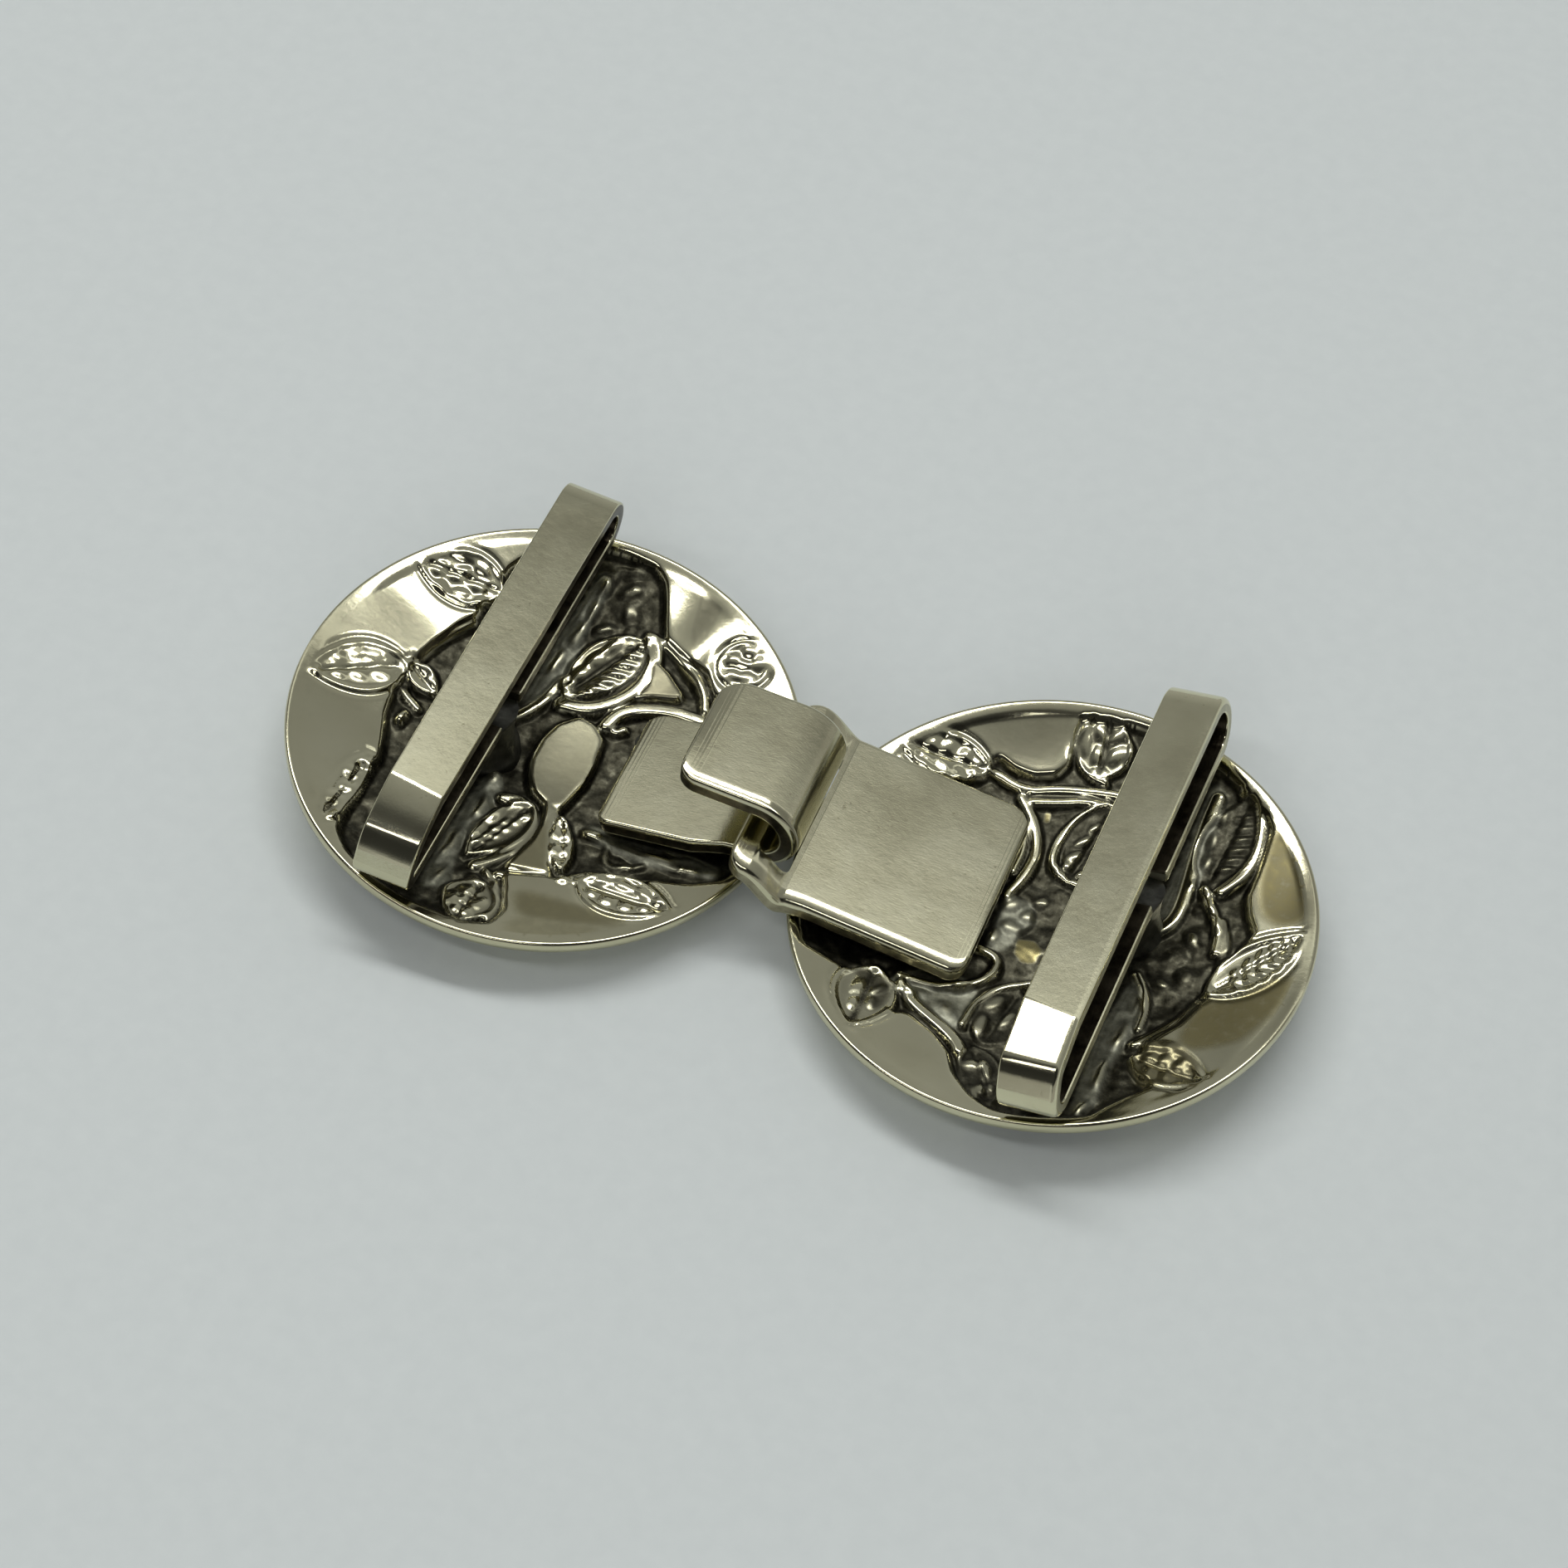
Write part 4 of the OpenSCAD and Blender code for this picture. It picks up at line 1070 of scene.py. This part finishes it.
def mound(x, y, foot, top, foot_r, waist_r, top_r, seed):
    """Points and faces of one mound, upright, closed at both ends."""
    lobes = np.random.default_rng(seed).uniform(0, 2 * math.pi, 3)
    count = MOUND_SIDES
    points = []
    for k in range(MOUND_RINGS):
        t = k / (MOUND_RINGS - 1)
        r = waist_r + (foot_r - waist_r) * (1 - t) ** 3 + (top_r - waist_r) * t ** 3
        for i in range(count):
            a = 2 * math.pi * i / count
            wave = 1 + 0.07 * math.sin(2 * a + lobes[0]) + 0.05 * math.sin(3 * a + lobes[1] + t)
            wave += 0.03 * math.sin(5 * a + lobes[2] - 2 * t)
            points.append((x + r * wave * math.cos(a), y + r * wave * math.sin(a), foot + (top - foot) * t))
    faces = [
        (k * count + i, k * count + (i + 1) % count, (k + 1) * count + (i + 1) % count, (k + 1) * count + i)
        for k in range(MOUND_RINGS - 1) for i in range(count)
    ]
    faces += [tuple(range(count))[::-1], tuple(range((MOUND_RINGS - 1) * count, MOUND_RINGS * count))]
    return np.array(points), faces

def solder_joints(name, place, mounds):
    """Several mounds as one piece."""
    points, faces = [], []
    for k, spec in enumerate(mounds):
        p, f = mound(*spec, seed=70 + k)
        faces += [tuple(i + sum(map(len, points)) for i in face) for face in f]
        points.append(p)
    return make_piece(name, moved(np.concatenate(points), place), faces, weighted=False)

# Each mound is x, y, height of its foot and top, and radius at the foot, waist and top.
hook_solder = solder_joints("hook_solder", HOOK_PLACE, [
    (-3.6, -0.7, -2.9, 0.8, 2.4, 1.7, 1.9),
    (6.4, 2.2, -2.3, -0.7, 1.6, 1.3, 1.4),
    (6.4, -2.2, -2.3, -0.7, 1.6, 1.3, 1.4),
])
eye_solder = solder_joints("eye_solder", EYE_PLACE, [
    (3.9, 1.9, -2.9, 0.85, 2.4, 1.7, 1.9),
    (-5.4, 3.0, -2.5, -0.8, 1.6, 1.3, 1.4),
    (-5.4, -3.0, -2.5, -0.8, 1.6, 1.3, 1.4),
])

# %% [markdown]
# ## Node helpers
#
# A finish is a small network of nodes. The same few steps come again and again: a noise, a
# ramp that turns it into colours, a mixture of two colours, a number spread over a range, a
# sum, a bump. Each of them is a short function here, so a finish can be read like a recipe.

# %% Noise and ramps
def new_material(name):
    """A material, its nodes, its links and its shader."""
    material = bpy.data.materials.new(name)
    material.use_nodes = True
    nodes, links = material.node_tree.nodes, material.node_tree.links
    return material, nodes, links, nodes["Principled BSDF"]

def noise_of(nodes, links, scale, detail=4, roughness=0.55, stretch=None):
    """A noise texture. scale is the number of its clouds in a millimetre."""
    place = nodes.new("ShaderNodeTexCoord")
    noise = nodes.new("ShaderNodeTexNoise")
    noise.inputs["Scale"].default_value = scale / MM
    noise.inputs["Detail"].default_value = detail
    noise.inputs["Roughness"].default_value = roughness
    source = place.outputs["Object"]
    if stretch:
        mapping = nodes.new("ShaderNodeMapping")
        mapping.inputs["Scale"].default_value = stretch
        links.new(source, mapping.inputs["Vector"])
        source = mapping.outputs["Vector"]
    links.new(source, noise.inputs["Vector"])
    return noise.outputs["Fac"]

def ramp_of(nodes, links, source, stops):
    """A colour ramp with these (position, colour) stops."""
    ramp = nodes.new("ShaderNodeValToRGB")
    elements = ramp.color_ramp.elements
    while len(elements) < len(stops):
        elements.new(0.5)
    for element, (position, colour) in zip(elements, stops):
        element.position = position
        element.color = (*colour, 1)
    links.new(source, ramp.inputs["Fac"])
    return ramp.outputs["Color"]

# %% Mixing, spreading and adding
def feed(links, socket, value):
    """Links an output to a socket, or sets the socket to a number or a colour."""
    if isinstance(value, tuple):
        socket.default_value = (*value, 1)
    elif isinstance(value, (int, float)):
        socket.default_value = value
    else:
        links.new(value, socket)

def mixed(nodes, links, fac, a, b, kind="MIX"):
    """Colour a where fac is 0, and where it is 1 colour b, or another mixture of the two. Each
    is an output, a colour or a number."""
    mix = nodes.new("ShaderNodeMix")
    mix.data_type = "RGBA"
    mix.blend_type = kind
    for socket, value in (("Factor", fac), ("A", a), ("B", b)):
        feed(links, mix.inputs[socket], value)
    return mix.outputs["Result"]

def scaled(nodes, links, value, low, high):
    """A value from 0 to 1 spread between low and high."""
    spread = nodes.new("ShaderNodeMapRange")
    spread.inputs["To Min"].default_value = low
    spread.inputs["To Max"].default_value = high
    links.new(value, spread.inputs["Value"])
    return spread.outputs["Result"]

def reckoned(nodes, links, operation, *values, clamp=False):
    """A sum or a product of outputs and numbers."""
    node = nodes.new("ShaderNodeMath")
    node.operation = operation
    node.use_clamp = clamp
    for socket, value in zip(node.inputs, values):
        feed(links, socket, value)
    return node.outputs["Value"]

# %% Bumps
def bump_of(nodes, links, heights):
    """Bumps on top of each other. heights is a list of (output, depth in millimetres)."""
    normal = None
    for height, depth in heights:
        bump = nodes.new("ShaderNodeBump")
        bump.inputs["Strength"].default_value = 1
        bump.inputs["Distance"].default_value = depth * MM
        links.new(height, bump.inputs["Height"])
        if normal:
            links.new(normal, bump.inputs["Normal"])
        normal = bump.outputs["Normal"]
    return normal

# %% [markdown]
# ## Pale nickel
#
# Nickel silver is a metal with a faint yellow cast. Its colour and roughness are never quite
# even: handling leaves soft cloudy patches, and polishing leaves fine marks. A photograph of
# metal could be wrapped on, but it would bring its own reflections with it. Noise textures give
# the patches and the marks at two scales, and a little bump breaks up the reflections. The
# marks are stretched along the strip, the way it was rubbed.

# %% Satin nickel for the loops and plates
NICKEL_TONES = [(0.32, (0.560, 0.532, 0.362)), (0.5, (0.620, 0.594, 0.410)), (0.68, (0.655, 0.632, 0.446))]
SPECKS = [(0.27, (0.74, 0.72, 0.68)), (0.36, (1, 1, 1))]
ALONG_LOOP, ALONG_PLATE = (6, 0.6, 3), (0.8, 3, 3)

def satin_nickel(name, stretch, rough, painted_brightness=1.0):
    """Strip metal with fine marks along the given direction. painted_brightness scales its whole tone,
    which paints one piece lighter or darker than the rest."""
    material, nodes, links, shader = new_material(name)
    clouds = noise_of(nodes, links, 0.22, 3)
    specks = noise_of(nodes, links, 2.2, 5, 0.7)
    marks = noise_of(nodes, links, 3.5, 3, 0.6, stretch)
    even = ramp_of(nodes, links, clouds, [(at, tuple(painted_brightness * c for c in tone)) for at, tone in NICKEL_TONES])
    spots = ramp_of(nodes, links, specks, SPECKS)
    links.new(mixed(nodes, links, 1.0, even, spots, "MULTIPLY"), shader.inputs["Base Color"])
    links.new(scaled(nodes, links, clouds, *rough), shader.inputs["Roughness"])
    shader.inputs["Metallic"].default_value = 1
    bumps = [(marks, 0.002), (specks, 0.004), (clouds, 0.014)]
    links.new(bump_of(nodes, links, bumps), shader.inputs["Normal"])
    return material

# The eye half's loop is painted paler and the tongue darker: lit and shaded copies of one nickel, painted
# light and painted shade.
hook_loop_metal = satin_nickel("satin nickel strip", ALONG_LOOP, (0.09, 0.15))
eye_loop_metal = satin_nickel("satin nickel strip painted paler", ALONG_LOOP, (0.09, 0.15), 1.14)
hook_plate_metal = satin_nickel("satin nickel tongue painted darker", ALONG_PLATE, (0.12, 0.17), 0.90)
eye_plate_metal = satin_nickel("satin nickel plate", ALONG_PLATE, (0.12, 0.17))
print("the satin finishes have", len(eye_plate_metal.node_tree.nodes), "nodes each")

# %% [markdown]
# ## The cut sides
#
# Strip is sheared from a sheet. Its cut sides were never polished, and dirt holds on them, so
# they are rougher and darker than its faces. One finish could be darkened with a mask, but the
# sections above already say which faces are cut, so they simply get a material of their own.
# The near-black cut sides of the hook half's loop and of the tongue are painted shade and a painted dark
# reflection of the hollow beside them, over some staining. The right side of the eye half's loop is painted
# paler, as if it caught the light: painted light. The inside of a loop is painted nearly black: painted
# shade, with some stain.

# %% Cut and stained metal, and sides painted with shade and light
def cut_nickel(name, low, high, rough=(0.22, 0.42)):
    """Sheared, unpolished and stained metal between two tones. It also carries painted shade on dark sides
    and painted light on a pale side.
    """
    material, nodes, links, shader = new_material(name)
    stain = noise_of(nodes, links, 0.7, 5, 0.65)
    shear = noise_of(nodes, links, 2.5, 3, 0.6, (3, 0.5, 3))
    links.new(ramp_of(nodes, links, stain, [(0.35, low), (0.65, high)]), shader.inputs["Base Color"])
    links.new(scaled(nodes, links, stain, *rough), shader.inputs["Roughness"])
    shader.inputs["Metallic"].default_value = 1
    links.new(bump_of(nodes, links, [(shear, 0.012)]), shader.inputs["Normal"])
    return material

side_metal = cut_nickel("cut side of the plates", (0.22, 0.20, 0.13), (0.44, 0.41, 0.28))
# Painted light: the right side of the eye half's loop is painted paler, as if it caught the light.
painted_lit_side = cut_nickel("painted lit side of the strip", (0.44, 0.43, 0.32), (0.62, 0.60, 0.46), (0.38, 0.55))
# Painted shade: the near-black cut sides of the hook half's loop and tongue paint shade and a dark
# reflection, over some staining.
painted_dark_side = cut_nickel("painted dark side of the strip", (0.03, 0.026, 0.018), (0.12, 0.105, 0.07))
# Painted shade: the inside of a loop is painted nearly black where shade falls, with some stain.
shade_and_stain_inside = cut_nickel("painted shade and stain inside the loop", (0.035, 0.028, 0.018), (0.14, 0.12, 0.08))
print("the cut finishes have", len(side_metal.node_tree.nodes), "nodes each")

# %% [markdown]
# ## Tarnished metal for the discs
#
# The discs are one metal in four states: bright on the high places, black in the hollows, yellow where the
# plating is thin and grey where solder ran. In some smooth fields the dark map also holds painted shade, a
# darker reflection painted on. Four materials would have hard borders. Instead, one material reads the
# three maps, which came along as attributes of the mesh, and mixes its colours by them. Tarnish is also
# rougher than clean metal. But a thin stain must not be: roughness would spread the lamp's reflection over
# it and brighten it. So the roughness follows the square of the darkness, which is small wherever the
# darkness is thin.

# %% Tarnished nickel with painted shade
BLACK_TONES = [(0.3, (0.015, 0.014, 0.009)), (0.55, (0.062, 0.059, 0.041)), (0.8, (0.19, 0.183, 0.130))]
GREY_TONES = [(0.3, (0.15, 0.15, 0.11)), (0.7, (0.40, 0.40, 0.31))]
BRASS_TONE = (0.38, 0.325, 0.135)
SOLDER_ROUGH = 0.48

def disc_nickel(name):
    """Bright cast metal that is dark in the hollows and painted darker in some smooth fields, dull where
    solder ran and yellow where the plating is thin."""
    material, nodes, links, shader = new_material(name)
    def attribute(kind):
        node = nodes.new("ShaderNodeAttribute")
        node.attribute_name = kind
        return node.outputs["Fac"]
    clouds = noise_of(nodes, links, 0.16, 3)
    fine = noise_of(nodes, links, 1.6, 5, 0.65)
    crumbs = scaled(nodes, links, fine, -0.28, 0.20)
    # The dark map is tarnish, with painted shade in some smooth fields.
    darkening = reckoned(nodes, links, "MULTIPLY_ADD", attribute("darkness"), 1.2, crumbs, clamp=True)
    bright = ramp_of(nodes, links, clouds, NICKEL_TONES)
    colour = mixed(nodes, links, attribute("brass"), bright, BRASS_TONE)
    colour = mixed(nodes, links, darkening, colour, ramp_of(nodes, links, fine, BLACK_TONES))
    colour = mixed(nodes, links, attribute("solder"), colour, ramp_of(nodes, links, fine, GREY_TONES))
    links.new(colour, shader.inputs["Base Color"])
    squared = reckoned(nodes, links, "MULTIPLY", darkening, darkening)
    rough = nodes.new("ShaderNodeMix")
    links.new(attribute("solder"), rough.inputs["Factor"])
    links.new(scaled(nodes, links, squared, 0.13, 0.42), rough.inputs["A"])
    rough.inputs["B"].default_value = SOLDER_ROUGH
    duller = reckoned(nodes, links, "MULTIPLY_ADD", attribute("brass"), 0.12, rough.outputs["Result"])
    links.new(duller, shader.inputs["Roughness"])
    shader.inputs["Metallic"].default_value = 1
    links.new(bump_of(nodes, links, [(fine, 0.006), (clouds, 0.012)]), shader.inputs["Normal"])
    return material

disc_metal = disc_nickel("tarnished cast nickel with painted shade")
print("the disc's finish has", len(disc_metal.node_tree.nodes), "nodes")

# %% [markdown]
# ## Solder
#
# Old soft solder is grey and dull, with a skin like cold wax. It is a metal too, so it needs
# no new kind of shader, only a darker tone, more roughness and a stronger bump.

# %% Dull solder
def dull_solder():
    """Grey solder with a rough skin."""
    material, nodes, links, shader = new_material("dull grey solder")
    skin = noise_of(nodes, links, 0.9, 5, 0.6)
    tones = ramp_of(nodes, links, skin, [(0.3, (0.05, 0.05, 0.042)), (0.7, (0.17, 0.17, 0.145))])
    links.new(tones, shader.inputs["Base Color"])
    links.new(scaled(nodes, links, skin, 0.35, 0.6), shader.inputs["Roughness"])
    shader.inputs["Metallic"].default_value = 1
    links.new(bump_of(nodes, links, [(skin, 0.08)]), shader.inputs["Normal"])
    return material

solder_metal = dull_solder()
print("the solder's finish has", len(solder_metal.node_tree.nodes), "nodes")

# %% [markdown]
# ## Handing out the finishes
#
# A strip has three finishes, in the order of the numbers that its section gave to the faces: polished, cut
# and inner. Each half is one solid in the CAD model. Both solids are hidden, and every piece rides on the
# root body.

# %% Hand out the finishes
for piece, finishes in (
    (hook_disc, [disc_metal]),
    (eye_disc, [disc_metal]),
    (hook_loop, [hook_loop_metal, painted_dark_side, shade_and_stain_inside]),
    (eye_loop, [eye_loop_metal, painted_lit_side, shade_and_stain_inside]),
    (hook_plate, [hook_plate_metal, painted_dark_side, hook_plate_metal]),
    (eye_plate, [eye_plate_metal, side_metal, eye_plate_metal]),
    (hook_solder, [solder_metal]),
    (eye_solder, [solder_metal]),
):
    while len(piece.data.materials) < len(finishes):
        piece.data.materials.append(None)
    for k, finish in enumerate(finishes):
        piece.data.materials[k] = finish
    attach(piece, "root")
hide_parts("hook_half")
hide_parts("eye_half")
print("all pieces have their finishes")

# %% [markdown]
# ## The floor
#
# The clasp lies on plain pale paper. A sheet of it is only a flat square. Its fibres are too
# fine to see, so they are a noise between two tones that are nearly the same.

# %% Floor
FLOOR_HALF = 1.0
PAPER_TONES = [(0.3, (0.690, 0.735, 0.722)), (0.7, (0.715, 0.76, 0.745))]
corners = [(x * FLOOR_HALF, y * FLOOR_HALF, 0) for x, y in ((-1, -1), (1, -1), (1, 1), (-1, 1))]
floor_mesh = bpy.data.meshes.new("floor")
floor_mesh.from_pydata(corners, [], [(0, 1, 2, 3)])
floor = bpy.data.objects.new("floor", floor_mesh)
bpy.context.scene.collection.objects.link(floor)
paper, nodes, links, shader = new_material("pale paper")
fibres = noise_of(nodes, links, 0.8)
links.new(ramp_of(nodes, links, fibres, PAPER_TONES), shader.inputs["Base Color"])
shader.inputs["Roughness"].default_value = 0.75
floor_mesh.materials.append(paper)
print("the floor is", 2 * FLOOR_HALF, "m wide")

# %% [markdown]
# ## Lamps
#
# Metal shows what stands round it, so the light matters more than the metal's own colour. The
# bright lines on the loops' bends say what was there: a long bright lamp a little beyond
# overhead, and a narrow one a little nearer. A point lamp would give dots, so they are
# rectangles. A last lamp lights the paper only: the metal does not mirror it.

# %% Three lamps
def soft_box(name, direction, distance, width, depth, radiance, turned=0.0):
    """A rectangular light that faces the clasp from a direction. radiance is what a mirror
    would show."""
    light = bpy.data.lights.new(name, "AREA")
    light.shape = "RECTANGLE"
    light.size, light.size_y = width, depth
    light.energy = radiance * math.pi * width * depth
    lamp = bpy.data.objects.new(name, light)
    d = np.array(direction) / np.linalg.norm(direction)
    side = np.cross((0, 1, 0), d)
    side /= np.linalg.norm(side)
    upward = np.cross(d, side)
    c, s = math.cos(math.radians(turned)), math.sin(math.radians(turned))
    turn = np.eye(4)
    turn[:3, 0], turn[:3, 1], turn[:3, 2] = c * side + s * upward, c * upward - s * side, d
    turn[:3, 3] = d * distance
    lamp.matrix_world = Matrix(turn.tolist())
    bpy.context.scene.collection.objects.link(lamp)
    print(name, "gives", round(light.energy, 2), "W")
    return lamp

soft_box("overhead_lamp", (-0.15, 0.345, 0.925), 0.6, 0.60, 0.085, 9.5, 5)
soft_box("narrow_lamp", (-0.19, -0.41, 0.89), 0.6, 0.50, 0.05, 6.0)
fill = soft_box("paper_fill", (0.2, -0.85, 0.5), 0.9, 0.9, 0.4, 1.8)
fill.visible_glossy = False

# %% [markdown]
# ## The room
#
# The metal also mirrors the room: a grey ceiling, a paler room behind with a soft bright band
# above it, and a dark side where the camera stands. Walls could be built, but only their
# reflections are seen, so the room is a world whose brightness depends on the direction.
# One ramp goes from the camera's side to the far side. A second one dims the room to the left
# and right. A third one keeps it from being black low down, where the pale floor lights it.

# %% Room
# Brightness by the y of the direction looked in, from the camera's side to the far side.
ROOM = [
    (-1.00, 0.50), (-0.94, 0.46), (-0.91, 0.04), (-0.40, 0.015), (-0.26, 0.03), (-0.14, 0.07),
    (-0.02, 0.26), (0.10, 0.30), (0.42, 0.29), (0.47, 0.29), (0.505, 0.95), (0.53, 1.15),
    (0.55, 0.66), (0.57, 0.38), (0.60, 0.24), (0.70, 0.29), (0.85, 0.34), (1.00, 0.40),
]
# The share of it that is left, by the x of the direction.
ROOM_SIDES = [(-1.0, 0.6), (-0.66, 0.65), (-0.46, 1.0), (0.5, 1.0), (0.8, 0.85), (1.0, 0.85)]
# The least brightness, by the z of the direction.
ROOM_LOW = [(-1.0, 0.34), (0.24, 0.34), (0.36, 0.0), (1.0, 0.0)]

world = bpy.data.worlds.new("room")
bpy.context.scene.world = world
world.use_nodes = True
nodes, links = world.node_tree.nodes, world.node_tree.links
where = nodes.new("ShaderNodeTexCoord")
split = nodes.new("ShaderNodeSeparateXYZ")
links.new(where.outputs["Generated"], split.inputs["Vector"])

def room_tones(axis, stops, red=1.0):
    """Grey by one part of the direction, which runs from -1 to 1."""
    spread = nodes.new("ShaderNodeMapRange")
    spread.inputs["From Min"].default_value = -1
    links.new(split.outputs[axis], spread.inputs["Value"])
    tones = [((a + 1) / 2, (red * v, v, v)) for a, v in stops]
    return ramp_of(nodes, links, spread.outputs["Result"], tones)

room = mixed(nodes, links, 1.0, room_tones("Y", ROOM, 0.98), room_tones("X", ROOM_SIDES), "MULTIPLY")
room = mixed(nodes, links, 1.0, room, room_tones("Z", ROOM_LOW), "LIGHTEN")
links.new(room, nodes["Background"].inputs["Color"])
nodes["Background"].inputs["Strength"].default_value = 1.0
print("the room's brightest band has", max(v for _, v in ROOM))

# %% [markdown]
# ## The camera
#
# Both rims are circles on the real clasp and ovals in the photograph. Their shapes, sizes and
# places together fix where the camera stood and how long its lens was, so a pinhole camera was
# fitted to them and its numbers are used here. Setting a camera by eye could not match both
# halves at once.

# %% Camera
AZIMUTH, ELEVATION, ROLL = map(math.radians, (18.43, 52.88, 4.11))
SENSOR = 36
FOCAL_PIXELS, FRAME_PIXELS = 4831, 1889
DISTANCE = 0.2299
LOOKED_AT = np.array([-1.43, 1.75, RIM_HEIGHT]) * MM

ahead = np.array([-math.sin(AZIMUTH), math.cos(AZIMUTH), 0])
back = np.array([0, 0, math.sin(ELEVATION)]) - ahead * math.cos(ELEVATION)
right = np.array([math.cos(AZIMUTH), math.sin(AZIMUTH), 0])
up = np.cross(back, right)
turn = np.eye(4)
turn[:3, 0] = right * math.cos(ROLL) + up * math.sin(ROLL)
turn[:3, 1] = up * math.cos(ROLL) - right * math.sin(ROLL)
turn[:3, 2] = back
turn[:3, 3] = LOOKED_AT + back * DISTANCE
camera_data = bpy.data.cameras.new("camera")
camera_data.sensor_width = SENSOR
camera_data.lens = SENSOR * FOCAL_PIXELS / FRAME_PIXELS
camera_data.clip_start = 0.01
camera = bpy.data.objects.new("camera", camera_data)
camera.matrix_world = Matrix(turn.tolist())
bpy.context.scene.collection.objects.link(camera)
bpy.context.scene.camera = camera
bpy.context.scene.view_settings.view_transform = "Standard"
print("the lens is", round(camera_data.lens, 1), "mm, and the camera stands",
      round(float(np.linalg.norm(turn[:3, 3])) * 1000), "mm from the clasp")
